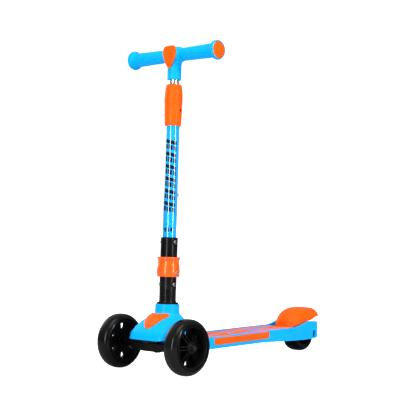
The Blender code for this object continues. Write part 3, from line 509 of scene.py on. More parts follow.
def turned(profile: list[Point2], axis: Axis = Axis.Z, centre: Vector = Vector(),
           turns: int = FULL_TURN) -> Body:
    """Turn a closed profile a full circle.

    Args:
        profile: Points of (radius, place along the axis).
        axis: The axis that it turns about.
        centre: Where the axis's zero stands.
        turns: How many steps the circle has.

    Returns:
        The turned body.
    """
    bm = bmesh.new()
    verts = [bm.verts.new((radius, 0.0, along)) for radius, along in profile]
    edges = [bm.edges.new((verts[i - 1], verts[i])) for i in range(len(verts))]
    bmesh.ops.spin(bm, geom=verts + edges, cent=(0, 0, 0), axis=(0, 0, 1), angle=TAU, steps=turns,
                   use_merge=True)
    bmesh.ops.remove_doubles(bm, verts=bm.verts, dist=MERGE)
    bmesh.ops.dissolve_degenerate(bm, dist=MERGE, edges=bm.edges)
    bmesh.ops.delete(bm, geom=[edge for edge in bm.edges if not edge.link_faces], context="EDGES")
    outward(bm)
    if axis is Axis.X:
        bmesh.ops.rotate(bm, verts=bm.verts, matrix=Matrix.Rotation(math.pi / 2, 3, "Y"))
    return moved(bm, centre)


def extruded(outline: list[Point2], axis: Axis, low: float, high: float) -> Body:
    """Extrude a closed outline along an axis.

    Args:
        outline: Points of the other two coordinates, in their own order.
        axis: The axis that it is extruded along.
        low: Where it starts.
        high: Where it ends.

    Returns:
        The extruded body.
    """
    order = {Axis.X: (2, 0, 1), Axis.Y: (0, 2, 1), Axis.Z: (0, 1, 2)}[axis]

    def placed(u: float, v: float, t: float) -> tuple[float, ...]:
        """Put the outline's two coordinates and the height in their own order."""
        return tuple((u, v, t)[i] for i in order)

    bm = bmesh.new()
    face = bm.faces.new([bm.verts.new(placed(u, v, low)) for u, v in outline])
    grown = bmesh.ops.extrude_face_region(bm, geom=[face])["geom"]
    moved = [item for item in grown if isinstance(item, bmesh.types.BMVert)]
    bmesh.ops.translate(bm, verts=moved, vec=placed(0.0, 0.0, high - low))
    return outward(bm)


def soft_edged(bm: Body, width: float, angle: float = 40.0, segments: int = 3) -> Body:
    """Round the sharp edges of a body.

    Args:
        bm: The body.
        width: The rounding's width.
        angle: The least angle that counts as sharp, in degrees.
        segments: How many steps the rounding has.

    Returns:
        The same body.
    """
    sharp = [edge for edge in bm.edges if edge.is_manifold
             and edge.calc_face_angle(0.0) > math.radians(angle)]
    bmesh.ops.bevel(bm, geom=sharp, offset=width, offset_type="OFFSET", segments=segments, profile=0.5,
                    affect="EDGES", material=-1, clamp_overlap=True)
    return bm


def moved(bm: Body, vector: Vector) -> Body:
    """Move a body by a vector, and give it back."""
    bmesh.ops.translate(bm, verts=bm.verts, vec=vector)
    return bm


def outward(bm: Body) -> Body:
    """Turn a body's faces outward, and give it back."""
    bmesh.ops.recalc_face_normals(bm, faces=bm.faces)
    return bm


def sliced(bm: Body, place: tuple[float, ...], normal: tuple[float, ...]) -> None:
    """Cut new edges into a body where a plane meets it."""
    geometry = bm.verts[:] + bm.edges[:] + bm.faces[:]
    bmesh.ops.bisect_plane(bm, geom=geometry, plane_co=place, plane_no=normal)


def rise(height: float) -> Vector:
    """The point on the Z axis at a height."""
    return Vector((0.0, 0.0, height))


def rod_profile(radius: float, low: float, high: float) -> list[Point2]:
    """The profile of a plain solid rod."""
    return [(0.0, low), (radius, low), (radius, high), (0.0, high)]


def linked(name: str, data: bpy.types.ID) -> bpy.types.Object:
    """Make an object of some data, in the scene."""
    made = bpy.data.objects.new(name, data)
    bpy.context.collection.objects.link(made)
    return made


def scratch(name: str, bm: Body) -> bpy.types.Object:
    """Make an object of a body, which is freed, to put modifiers on."""
    mesh = bpy.data.meshes.new(name)
    bm.to_mesh(mesh)
    bm.free()
    return linked(name, mesh)


def outcome(objects: list[bpy.types.Object]) -> Body:
    """Take what the first object's modifiers make of it, and remove the objects.

    Args:
        objects: The object with the modifiers, then those that they use.

    Returns:
        The result, as a new mesh.
    """
    evaluated = objects[0].evaluated_get(bpy.context.evaluated_depsgraph_get())
    result = bmesh.new()
    result.from_mesh(evaluated.to_mesh())
    evaluated.to_mesh_clear()
    for made in objects:
        mesh = made.data
        bpy.data.objects.remove(made, do_unlink=True)
        bpy.data.meshes.remove(mesh)
    return result


def gathered(*shapes: Body) -> Body:
    """Put several bodies in one mesh.

    Args:
        shapes: The bodies, which are freed.

    Returns:
        The mesh of them all.
    """
    whole = bmesh.new()
    for shape in shapes:
        copy = bpy.data.meshes.new("gathered")
        shape.to_mesh(copy)
        shape.free()
        whole.from_mesh(copy)
        bpy.data.meshes.remove(copy)
    return whole


def spun(bm: Body, angle: float, axis: Axis = Axis.X, centre: Vector = Vector()) -> Body:
    """Turn a body about an axis through a centre, by an angle in radians, and give it back."""
    bmesh.ops.rotate(bm, verts=bm.verts, cent=centre, matrix=Matrix.Rotation(angle, 3, axis.value))
    return bm


def mirrored(bm: Body) -> Body:
    """Swap left for right."""
    bmesh.ops.scale(bm, verts=bm.verts, vec=(-1, 1, 1))
    bmesh.ops.reverse_faces(bm, faces=bm.faces)
    return bm


def sided(bm: Body, side: Side) -> Body:
    """Keep a left body on the left, or mirror it to the right."""
    return bm if side is Side.LEFT else mirrored(bm)


def carved(bm: Body, *tools: Body, operation: str = "DIFFERENCE") -> Body:
    """Cut bodies from a body, or join them to it, one after another.

    Args:
        bm: The body.
        tools: The bodies to cut or join.
        operation: The Boolean's operation.

    Returns:
        The result, as a new mesh.
    """
    objects = [scratch("carving", shape) for shape in (bm, *tools)]
    for tool in objects[1:]:
        step = objects[0].modifiers.new("carve", "BOOLEAN")
        step.operation = operation
        step.solver = "EXACT"
        step.object = tool
    result = outcome(objects)
    bmesh.ops.remove_doubles(result, verts=result.verts, dist=MERGE)
    bmesh.ops.dissolve_degenerate(result, dist=MERGE, edges=result.edges)
    return result


def moulded(bm: Body, voxel: float, passes: int) -> Body:
    """Melt a body's inner corners into fillets, as a mould has them.

    Args:
        bm: The body.
        voxel: The grid that it is remade on.
        passes: How often it is smoothed.

    Returns:
        The result, as a new mesh.
    """
    made = scratch("moulding", bm)
    grid = made.modifiers.new("grid", "REMESH")
    grid.mode = "VOXEL"
    grid.voxel_size = voxel
    soft = made.modifiers.new("soft", "SMOOTH")
    soft.factor = 0.5
    soft.iterations = passes
    return outcome([made])


def hexagon(across: float) -> list[Point2]:
    """The corners of a hexagon, by the distance of a corner from its middle."""
    return [(across * math.cos(i * TAU / 6), across * math.sin(i * TAU / 6)) for i in range(6)]


def stacked(rings: list[list[Vector]], closed_ring: bool) -> Body:
    """Grow a skin through rings of points by extruding the first ring's edges from one to the next.

    Args:
        rings: The rings, each with the same number of points.
        closed_ring: Whether a ring's last point joins its first.

    Returns:
        The open skin.
    """
    bm = bmesh.new()
    row = [bm.verts.new(point) for point in rings[0]]
    pairs = list(zip(row, row[1:])) + ([(row[-1], row[0])] if closed_ring else [])
    edges = [bm.edges.new(pair) for pair in pairs]
    order = {vert: i for i, vert in enumerate(row)}
    for ring in rings[1:]:
        grown = bmesh.ops.extrude_edge_only(bm, edges=edges)["geom"]
        new_edges = [item for item in grown if isinstance(item, bmesh.types.BMEdge)]
        fresh = [item for item in grown if isinstance(item, bmesh.types.BMVert)]
        new_order = {}
        for vert in fresh:
            source = next(edge.other_vert(vert)
                          for edge in vert.link_edges if edge.other_vert(vert) in order)
            new_order[vert] = order[source]
            vert.co = ring[order[source]]
        edges = [edge for edge in new_edges if all(vert in new_order for vert in edge.verts)]
        order = new_order
    return outward(bm)


# --- the frame ----------------------------------------------------------------------------------


@dataclass
class Frame:
    """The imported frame: its record and the leaning axis of the steering column."""

    loaded: dict
    lean: Matrix = field(init=False)

    def __post_init__(self) -> None:
        """Find where the column's axis stands and how far it leans."""
        joint = next(item for item in self.loaded["record"]["behaviour"]["joints"]
                     if item["name"] == "twist_lock")
        direction = Vector(joint["axis"]).normalized()
        place = Vector(joint["pos_m"]) / MM
        foot = place - direction * (place.z / direction.z)
        turn = Vector((0, 0, 1)).rotation_difference(direction).to_matrix().to_4x4()
        self.lean = Matrix.Translation(foot) @ turn

    def low(self, node: str) -> Vector:
        """A node's lowest corner, in millimetres."""
        return Vector(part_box(node)[0]) / MM

    def high(self, node: str) -> Vector:
        """A node's highest corner, in millimetres."""
        return Vector(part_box(node)[1]) / MM

    def middle(self, node: str) -> Vector:
        """A node's middle, in millimetres."""
        return (self.low(node) + self.high(node)) / 2

    def leant(self, bm: Body) -> Body:
        """Lean a body drawn along the column's own axis."""
        bmesh.ops.transform(bm, matrix=self.lean, verts=bm.verts)
        return bm

    def dress(self) -> None:
        """Give every node of the frame its finish."""
        for part in self.loaded["record"]["subparts"]:
            node = part["node"]
            finish = NODE_FINISHES.get(node, SLOT_FINISHES[part["material_slot"]])
            mesh = self.loaded["nodes"][node].data
            mesh.materials.clear()
            mesh.materials.append(finish.material())
            LOG.info("dressed %s in %s", node, finish.name)


def add_piece(name: str, bm: Body, finish: Finish, body: str, slot: str,
              *stands_for: str) -> bpy.types.Object:
    """Make one piece of the object from a body in millimetres.

    Args:
        name: The piece's name.
        bm: Its body, which is freed.
        finish: Its finish.
        body: The frame's body that it rides on.
        slot: The record's material slot; not used.
        stands_for: The frame's nodes that it replaces.

    Returns:
        The piece.
    """
    bmesh.ops.scale(bm, verts=bm.verts, vec=(MM, MM, MM))
    mesh = bpy.data.meshes.new(name)
    bm.to_mesh(mesh)
    bm.free()
    mesh.shade_smooth()
    mesh.set_sharp_from_angle(angle=SMOOTH_ANGLE)
    mesh.materials.append(finish.material())
    piece = linked(name, mesh)
    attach(piece, body)
    if stands_for:
        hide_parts(*stands_for)
    LOG.info("made %s on %s, %d faces", name, body, len(mesh.polygons))
    return piece


def map_round(piece: bpy.types.Object, lean: Matrix) -> None:
    """Give a tube its map: the angle round its axis, from 0 to 1, and the height in metres.

    Args:
        piece: The tube, in metres.
        lean: The place of its axis, in millimetres.
    """
    back = lean.inverted()
    layer = piece.data.uv_layers.new(name="round")
    for polygon in piece.data.polygons:
        flat = back @ (polygon.center / MM)
        base = math.atan2(flat.y, flat.x) / TAU
        for loop in polygon.loop_indices:
            local = back @ (piece.data.vertices[piece.data.loops[loop].vertex_index].co / MM)
            angle = math.atan2(local.y, local.x) / TAU
            angle += round(base - angle)
            layer.data[loop].uv = (angle, local.z * MM)


# --- wheels -------------------------------------------------------------------------------------


@dataclass
class Wheels:
    """The three wheels: tyres, spoked front hubs with their caps, and the plain rear hub."""

    frame: Frame
    spokes: int = 6
    first_spoke: float = math.radians(30.0)
    seat: float = 47.0
    rear_seat: float = 29.0
    rib_half: float = 1.15
    rib_gap: float = 3.3
    shoulder: float = 9.0
    rear_shoulder: float = 4.6
    tread_steps: int = 14
    tread_power: float = 3.2
    tread_share: float = 0.985
    edge_start: float = 0.82
    edge_reach: float = 0.18
    edge_drop: float = 3.0
    wall_drop: float = 3.4

    def tyre(self, radius: float, half: float, seat: float, shoulder: float) -> Body:
        """A solid tyre with a crowned tread and round shoulders, about X.

        Args:
            radius: Its outer radius.
            half: Half its width.
            seat: Its inner radius.
            shoulder: How far the tread falls away towards its edge.

        Returns:
            The tyre.
        """
        crown = []
        for i in range(self.tread_steps + 1):
            t = -1.0 + 2.0 * i / self.tread_steps
            drop = shoulder * abs(t) ** self.tread_power
            edge = self.edge_drop * max(0.0, (abs(t) - self.edge_start) / self.edge_reach) ** 2
            crown.append((radius - drop - edge, half * t * self.tread_share))
        wall = radius - shoulder - self.wall_drop
        profile = [(seat, -half + 0.6), (seat + 0.8, -half), (seat + 2.2, -half),
                   (wall - 0.4, -half)] + crown
        profile += [(wall - 0.4, half), (seat + 2.2, half), (seat + 0.8, half), (seat, half - 0.6)]
        return turned(profile, Axis.X)

    def rib(self, inner: float, outer: float, offset: float) -> Body:
        """One rib of a spoke, its outer edge dished, standing up along Z.

        Args:
            inner: Where it starts, from the axle.
            outer: Where it ends.
            offset: How far it stands from the spoke's middle line.

        Returns:
            The rib.
        """
        outline = [(-8.5, inner), (-7.0, outer), (3.6, outer), (6.6, outer * 0.66), (10.0, inner * 1.9),
                   (12.6, inner)]
        body = extruded(outline, Axis.Y, offset - self.rib_half, offset + self.rib_half)
        return soft_edged(body, 0.55, 50.0, 2)

    def hub(self) -> Body:
        """A left front hub: rim, disc with its slits, ribs and core, about X."""
        rim = filleted([(41.6, -17.0), (46.6, -17.0), (46.6, 17.0), (44.6, 17.6), (43.6, 17.6),
                        (42.2, 15.0), (41.6, -3.0),
                        (41.6, -7.0)], {4: 0.8, 3: 0.6, 0: 0.8})
        core = filleted([(6.6, -12.6), (13.6, -12.6), (14.2, 6.0), (12.8, 13.4), (11.4, 14.6),
                         (6.6, 14.6)],
                        {1: 1.0, 3: 1.4, 4: 1.0})
        shapes = [turned(rim, Axis.X), turned(core, Axis.X)]
        disc = turned([(13.0, -6.6), (42.4, -6.6), (42.4, -3.6), (13.0, -3.6)], Axis.X)
        slit = filleted([(-2.8, 25.0), (2.8, 25.0), (4.4, 39.0), (-4.4, 39.0)],
                        {i: 2.0 for i in range(4)})
        gap = self.first_spoke + math.pi / self.spokes
        slits = [spun(extruded(slit, Axis.X, -12.0, 0.0),
                      gap + i * TAU / self.spokes) for i in range(self.spokes)]
        shapes.append(carved(disc, *slits))
        for i in range(self.spokes):
            angle = self.first_spoke + i * TAU / self.spokes
            for offset in (-self.rib_gap, self.rib_gap):
                shapes.append(spun(self.rib(11.0, 42.6, offset), angle))
        return gathered(*shapes)

    def cap(self) -> Body:
        """The left hub's domed cap over the axle nut and the bearing, about X."""
        profile = filleted([(0.0, 9.0), (10.6, 9.0), (10.6, 15.6), (8.2, 16.8), (7.6, 20.8), (5.6, 22.6),
                            (0.0, 23.0)],
                           {2: 0.8, 4: 1.2, 5: 1.2})
        return carved(turned(profile, Axis.X, turns=SMALL_TURN),
                      extruded(hexagon(2.4), Axis.X, 21.4, 26.0))

    def tyre_for(self, node: str, seat: float, shoulder: float) -> Body:
        """A tyre that fills a node's box."""
        size = self.frame.high(node) - self.frame.low(node)
        return moved(self.tyre(size.z / 2, size.x / 2, seat, shoulder), self.frame.middle(node))

    def build(self) -> None:
        """Build both front wheels and the rear tyre."""
        for side in Side:
            word = side.word
            body, node = f"wheel_{word}", f"tyre_{word}"
            centre = self.frame.middle(node)
            tyre = self.tyre_for(node, self.seat, self.shoulder)
            hub = moved(sided(self.hub(), side), centre)
            cap = moved(sided(self.cap(), side), centre)
            add_piece(f"tyre_skin_{word}", tyre, TYRE, body, "smoke_tyre", node)
            add_piece(f"spoked_hub_{word}", hub, HUB_BLACK, body, "black_plastic", f"hub_{word}")
            add_piece(f"axle_cap_{word}", cap, BLACK, "truck", "black_plastic", f"axle_nut_{word}")
        tyre = self.tyre_for("rear_tyre", self.rear_seat, self.rear_shoulder)
        add_piece("rear_tyre_skin", tyre, TYRE, "rear_wheel", "smoke_tyre", "rear_tyre")


# --- nose ---------------------------------------------------------------------------------------


@dataclass
class Nose:
    """The nose moulding with its collar, and the shield let into its slope."""

    frame: Frame
    points: int = 72
    wall: float = 3.0
    levels: tuple = (
        # height, front, back, half width, front corners' power, back corners' power
        (70.3, -278.0, -140.5, 54.5, 7.0, 5.0),
        (85.0, -275.0, -146.0, 53.4, 6.0, 4.0),
        (96.0, -266.5, -158.0, 50.2, 5.0, 3.2),
        (106.0, -255.5, -167.0, 44.6, 4.0, 2.6),
        (114.0, -245.5, -173.0, 38.2, 3.4, 2.2),
        (120.5, -236.5, -176.0, 31.5, 2.6, 2.0),
    )
    collar_radius: float = 26.7
    collar_top: float = 144.0
    shield_gap: float = 29.5
    shield_steps: int = 12
    shield_mesh: int = 4
    shield_edge: float = 1.5
    shield_rise: float = 2.2
    shield_wall: float = 1.9

    def lip(self, along: float) -> float:
        """How far the lower edge rises above its front, arched over the axle."""
        return 7.5 * (1 - along * along) - 2.3 * max(along, 0.0)

    def ring(self, level: tuple, lift: float) -> list[Vector]:
        """One ring of the moulding.

        Args:
            level: The height, front, back, half width and the two corner powers.
            lift: How much the lip's arch counts at this level.

        Returns:
            The ring's points.
        """
        height, front, back, half, front_power, back_power = level
        middle, reach = (front + back) / 2, (back - front) / 2
        made = []
        for i in range(self.points):
            angle = TAU * (i + 0.5) / self.points
            power = front_power if math.sin(angle) < 0 else back_power
            across = math.copysign(abs(math.cos(angle)) ** (2 / power), math.cos(angle))
            along = math.copysign(abs(math.sin(angle)) ** (2 / power), math.sin(angle))
            made.append(Vector((half * across, middle + reach * along, height + lift * self.lip(along))))
        return made

    def collar(self, radius: float, height: float) -> list[Vector]:
        """A ring of the collar, square to the leaning column, by its height on the column's axis."""
        made = []
        for i in range(self.points):
            angle = TAU * (i + 0.5) / self.points
            place = Vector((radius * math.cos(angle), radius * math.sin(angle), height))
            made.append(self.frame.lean @ place)
        return made

    def between(self, first: tuple, second: tuple, t: float) -> tuple:
        """A level part of the way from one level to the next."""
        return tuple(a + (b - a) * t for a, b in zip(first, second))

    def skin(self) -> Body:
        """The moulding's outer skin, from its lip up over the slope and the collar."""
        rings = [self.ring(self.levels[0], 1.0)]
        for first, second in zip(self.levels, self.levels[1:]):
            for t in (0.5, 1.0):
                level = self.between(first, second, t)
                lift = 1.0 - t if first is self.levels[0] else 0.0
                rings.append(self.ring(level, lift))
        outer, top = self.collar_radius, self.collar_top
        profile = ((27.7, 124.2), (26.9, 126.6), (outer, 130.0), (outer, 137.0), (outer, top - 0.8),
                   (outer - 0.8, top), (16.6, top))
        rings += [self.collar(radius, height) for radius, height in profile]
        return stacked(rings, True)

    def shield(self, skin: Body) -> Body:
        """The shield: a plate cut to its outline and laid on the slope.

        Args:
            skin: The moulding's outer skin.

        Returns:
            The shield, a solid plate.
        """
        side = [(0.0, -268.5), (8.0, -266.5), (15.5, -259.5), (22.5, -249.0), (27.5, -237.0),
                (29.0, -229.5), (27.0, -225.0)]
        centre = (self.frame.lean @ Vector((0.0, 0.0, 134.0))).y
        arc = []
        for i in range(self.shield_steps + 1):
            angle = math.radians(50.0 - 100.0 * i / self.shield_steps)
            arc.append((self.shield_gap * math.sin(angle), centre - self.shield_gap * math.cos(angle)))
        outline = side + arc + [(-x, y) for x, y in reversed(side[1:])]
        last = len(side) + self.shield_steps - 1
        soft = [0, *range(1, len(side) + 1), *range(last, len(outline))]
        outline = filleted(outline, dict.fromkeys(soft, 6.0), 5)
        bm = bmesh.new()
        bm.faces.new([bm.verts.new((x, y, 150.0)) for x, y in outline])
        for x in range(-28, 29, self.shield_mesh):
            sliced(bm, (x, 0, 0), (1, 0, 0))
        for y in range(-268, -220, self.shield_mesh):
            sliced(bm, (0, y, 0), (0, 1, 0))
        bmesh.ops.triangulate(bm, faces=bm.faces)
        tree = BVHTree.FromBMesh(skin)
        for vert in bm.verts:
            hit = tree.ray_cast(vert.co, Vector((0, 0, -1)))[0]
            if hit is not None:
                vert.co = hit
        bmesh.ops.smooth_vert(bm, verts=[v for v in bm.verts if not v.is_boundary], factor=0.5,
                              use_axis_x=True,
                              use_axis_y=True, use_axis_z=True)
        outward(bm)
        if sum(face.normal.z for face in bm.faces) < 0:
            bmesh.ops.reverse_faces(bm, faces=bm.faces)
        bm.normal_update()
        for vert in bm.verts:
            vert.co += vert.normal * (self.shield_edge if vert.is_boundary else self.shield_rise)
        bmesh.ops.solidify(bm, geom=bm.faces[:], thickness=self.shield_wall)
        return outward(bm)

    def build(self) -> None:
        """Build the moulding and its shield."""
        skin = self.skin()
        shield = self.shield(skin)
        bmesh.ops.solidify(skin, geom=skin.faces[:], thickness=self.wall)
        outward(skin)
        add_piece("nose_moulding", skin, BLUE, "deck", "blue_plastic", "front_housing")
        add_piece("nose_shield", shield, ORANGE, "deck", "orange_plastic", "nose_badge")


# --- deck ---------------------------------------------------------------------------------------


@dataclass
class Deck:
    """The printed mat and the side strips."""

    frame: Frame
    strip_corners: tuple = (6.0, 6.0, 1.2, 1.2)
    mat_corners: tuple = (4.0, 4.0, 4.0, 4.0)
    soft: float = 0.35

    def plate(self, node: str, axis: Axis, corners: tuple) -> Body:
        """A plate that fills a node's box, with round corners and soft edges.

        Args:
            node: The frame's node.
            axis: The direction of its thickness.
            corners: The rounding of each corner, from low-low round to low-high.

        Returns:
            The plate.
        """
        low, high = self.frame.low(node), self.frame.high(node)
        u, v, t = {Axis.X: (1, 2, 0), Axis.Z: (0, 1, 2)}[axis]
        box = [(low[u], low[v]), (high[u], low[v]), (high[u], high[v]), (low[u], high[v])]
        outline = filleted(box, dict(enumerate(corners)), 6)
        return soft_edged(extruded(outline, axis, low[t], high[t]), self.soft, 60.0)

    def build(self) -> None:
        """Build the mat and both strips."""
        mat = self.plate("deck_mat", Axis.Z, self.mat_corners)
        add_piece("printed_mat", mat, MAT, "deck", "deck_graphic", "deck_mat")
        for side in Side:
            node = f"side_panel_{side.word}"
            strip = self.plate(node, Axis.X, self.strip_corners)
            add_piece(f"side_strip_{side.word}", strip, ORANGE, "deck", "orange_plastic", node)


# --- column -------------------------------------------------------------------------------------


@dataclass
class Column:
    """The fixed lower column, the folding stem, its lock collar and the height clamp."""

    frame: Frame
    tube: float = 15.0
    wall: float = 1.5
    sleeve: float = 18.75
    split: float = 209.0
    pin_back: float = 14.0
    pin_radius: float = 2.05
    knuckle_radius: float = 4.2
    bolt_flat: float = 17.2
    lower_bolt: float = 186.7
    upper_bolt: float = 279.9
    sleeve_top: float = 290.0
    tube_foot: float = 224.3
    tube_top: float = 600.0
    clamp_foot: float = 536.4
    clamp_top: float = 583.0
    screw_height: float = 571.0
    screw_turn: float = math.radians(12.0)
    collar_foot: float = 203.5
    collar_top: float = 247.0
    button_height: float = 213.0
    sleeve_foot: float = 147.8
    column_top: float = 198.0
    gap: float = 0.15
    fit: float = 0.3
    lug_reach: float = 5.55
    lug_back: float = 16.6

    def rod(self, radius: float, low: float, high: float, height: float) -> Body:
        """A rod across the stem, along X, at a height on its axis."""
        return turned(rod_profile(radius, low, high), Axis.X, rise(height), SMALL_TURN)

    def bolt_tool(self, height: float) -> Body:
        """The two round flats and the hole for a through-bolt, as one body."""
        flat, hole, reach = 8.0, 3.3, 40.0
        profile = [(0.0, -reach), (flat, -reach), (flat, -self.bolt_flat), (hole, -self.bolt_flat),
                   (hole, self.bolt_flat), (flat, self.bolt_flat), (flat, reach), (0.0, reach)]
        return turned(profile, Axis.X, rise(height), SMALL_TURN)

    def hinge_rod(self, radius: float, low: float, high: float) -> Body:
        """A rod about the hinge's pin: its bore or a knuckle."""
        return moved(self.rod(radius, low, high, self.split), Vector((0.0, self.pin_back, 0.0)))

    def box(self, low: tuple[float, float, float], high: tuple[float, float, float]) -> Body:
        """A plain block between two corners, to carve with."""
        outline = [(low[0], low[1]), (high[0], low[1]), (high[0], high[1]), (low[0], high[1])]
        return extruded(outline, Axis.Z, low[2], high[2])

    def lower_sleeve(self) -> Body:
        """The lower sleeve: a foot bead, shallow rings round its foot, flats, and the middle knuckle."""
        outer = [(self.sleeve + 0.6, self.sleeve_foot), (self.sleeve + 0.6, 149.4), (self.sleeve, 150.2)]
        for i in range(6):
            level = 152.4 + i * 4.2
            outer += [(self.sleeve, level), (self.sleeve - 0.7, level + 0.5),
                      (self.sleeve - 0.7, level + 1.5),
                      (self.sleeve, level + 2.0)]
        outer += [(self.sleeve, self.split - self.gap - 0.5), (self.sleeve - 0.5, self.split - self.gap),
                  (0.0, self.split - self.gap)]
        body = turned([(0.0, self.column_top), (self.tube + self.fit, self.column_top),
                       (self.tube + self.fit, self.sleeve_foot)] + outer)
        slot = self.box((-30, 8.0, self.split - self.lug_reach), (30, 30, self.split + 10))
        body = carved(body, slot, self.bolt_tool(self.lower_bolt))
        web = self.box((-4.3, 10.5, self.split - 9.0), (4.3, 17.2, self.split - 1.5))
        body = carved(body, web, self.hinge_rod(self.knuckle_radius, -4.4, 4.4), operation="UNION")
        return carved(body, self.hinge_rod(self.pin_radius, -20.0, 20.0))

    def upper_sleeve(self) -> Body:
        """The upper sleeve: soft ends, flats, and the hinge's two outer lugs."""
        profile = filleted([(0.0, self.split + self.gap), (self.sleeve, self.split + self.gap),
                            (self.sleeve, self.sleeve_top),
                            (self.tube + self.fit, self.sleeve_top),
                            (self.tube + self.fit, self.tube_foot - self.fit),
                            (0.0, self.tube_foot - self.fit)], {1: 0.5, 2: 0.9, 3: 0.4})
        slot = self.box((-30, 8.0, self.split - 10), (30, 30, self.split + self.lug_reach))
        body = carved(turned(profile), slot, self.bolt_tool(self.upper_bolt))
        flat = self.lug_back - self.pin_back
        start = math.acos(flat / self.knuckle_radius)
        lug = []
        for i in range(15):
            angle = TAU - start + (math.pi - TAU + start) * i / 14
            across, along = self.knuckle_radius * math.cos(angle), self.knuckle_radius * math.sin(angle)
            lug.append((self.pin_back + across, self.split + along))
        lug += [(self.pin_back - self.knuckle_radius, self.split + 10.0),
                (self.lug_back, self.split + 10.0)]
        body = carved(body, extruded(lug, Axis.X, 4.8, 8.6), extruded(lug, Axis.X, -8.6, -4.8),
                      operation="UNION")
        return carved(body, self.hinge_rod(self.pin_radius, -20.0, 20.0))

    def bolt(self, height: float) -> Body:
        """A through-bolt with a round head on the left and a socket in it."""
        profile = filleted([(0.0, -24.5), (2.6, -24.5), (3.0, -24.0), (3.0, self.bolt_flat + 0.3),
                            (5.4, self.bolt_flat + 0.3),
                            (5.2, self.bolt_flat + 2.6), (3.4, self.bolt_flat + 4.1),
                            (0.0, self.bolt_flat + 4.1)],
                           {5: 1.4, 6: 1.2})
        body = turned(profile, Axis.X, rise(height), SMALL_TURN)
        socket = extruded([(u, v + height) for u, v in hexagon(2.1)], Axis.X, self.bolt_flat + 1.8, 40.0)
        return carved(body, socket)

    def arch(self) -> Body:
        """The small raised arch above the lower sleeve's rings, on its front left."""
        outer, inner = [], []
        for i in range(13):
            angle = math.pi * i / 12
            outer.append((5.6 * math.cos(angle), 181.0 + 4.6 * math.sin(angle)))
            inner.append((4.4 * math.cos(angle), 181.0 + 3.4 * math.sin(angle)))
        body = extruded(outer + inner[::-1], Axis.X, self.sleeve - 0.8, self.sleeve + 0.35)
        return spun(soft_edged(body, 0.2, 60.0, 2), math.radians(-62.0), Axis.Z)

    def clamp_base(self) -> Body:
        """The fixed half of the height clamp, with the hole for its screw."""
        profile = filleted([(self.tube + self.fit, self.clamp_foot), (17.8, self.clamp_foot),
                            (18.5, 545.0), (19.1, 557.0),
                            (19.5, 572.0), (19.5, self.clamp_top),
                            (self.tube + self.fit, self.clamp_top)], {1: 1.4, 5: 0.5})
        hole = spun(self.rod(3.2, 10.0, 30.0, self.screw_height), self.screw_turn, Axis.Z)
        return carved(turned(profile), hole)

    def clamp_screw(self) -> Body:
        """The grub screw down in the clamp's hole, with its socket."""
        body = turned(filleted([(0.0, 15.4), (2.6, 15.4), (2.6, 18.2), (0.0, 18.2)], {2: 0.4}), Axis.X,
                      rise(self.screw_height), SMALL_TURN)
        socket = extruded([(u, v + self.screw_height) for u, v in hexagon(1.4)], Axis.X, 16.6, 30.0)
        return spun(carved(body, socket), self.screw_turn, Axis.Z)

    def knob(self) -> Body:
        """The twisting half of the height clamp, barrel-shaped and drawn in towards its top."""
        foot, top = self.clamp_top + 0.3, 628.6
        profile = filleted([(self.tube + 0.4, foot), (19.5, foot), (20.1, 590.0), (20.2, 599.0),
                            (19.5, 611.0), (18.2, 621.0),
                            (17.0, 626.6), (15.6, top), (11.9, top), (11.9, self.tube_top + 0.6),
                            (self.tube + 0.4, self.tube_top + 0.6)], {1: 0.5, 6: 2.0, 7: 1.4, 8: 0.5})
        return turned(profile)

    def collar(self) -> Body:
        """The sliding lock collar, waisted under its upper flange, with the button's pocket."""
        outline = [(19.1, self.collar_foot), (24.2, self.collar_foot), (25.0, 207.0), (25.1, 214.0),
                   (25.0, 221.0), (23.9, 228.5),
                   (22.9, 234.5), (23.2, 239.5), (25.3, 243.6), (25.3, 246.0), (24.4, self.collar_top),
                   (19.1, self.collar_top)]
        body = turned(filleted(outline, {1: 1.0, 5: 3.0, 6: 3.0, 7: 2.0, 8: 1.0, 9: 0.7, 10: 0.4}))
        return carved(body, self.rod(5.6, 23.6, 40.0, self.button_height),
                      self.rod(4.3, 20.6, 40.0, self.button_height))

    def button(self) -> Body:
        """The lock button, domed, with a round dimple in it."""
        profile = filleted([(0.0, 22.4), (4.0, 22.4), (4.0, 25.8), (3.0, 26.9), (0.0, 26.9)],
                           {2: 0.8, 3: 0.6})
        body = turned(profile, Axis.X, rise(self.button_height), SMALL_TURN)
        return carved(body, self.rod(1.7, 25.4, 30.0, self.button_height))

    def stem_tube(self) -> Body:
        """The lacquered stem tube with its top rim."""
        inner = self.tube - self.wall
        profile = filleted([(inner, self.tube_foot), (self.tube, self.tube_foot), (self.tube, 300.0),
                            (self.tube, 400.0),
                            (self.tube, 500.0), (self.tube, self.tube_top), (inner, self.tube_top)],
                            {5: 0.5, 6: 0.4})
        return turned(profile)

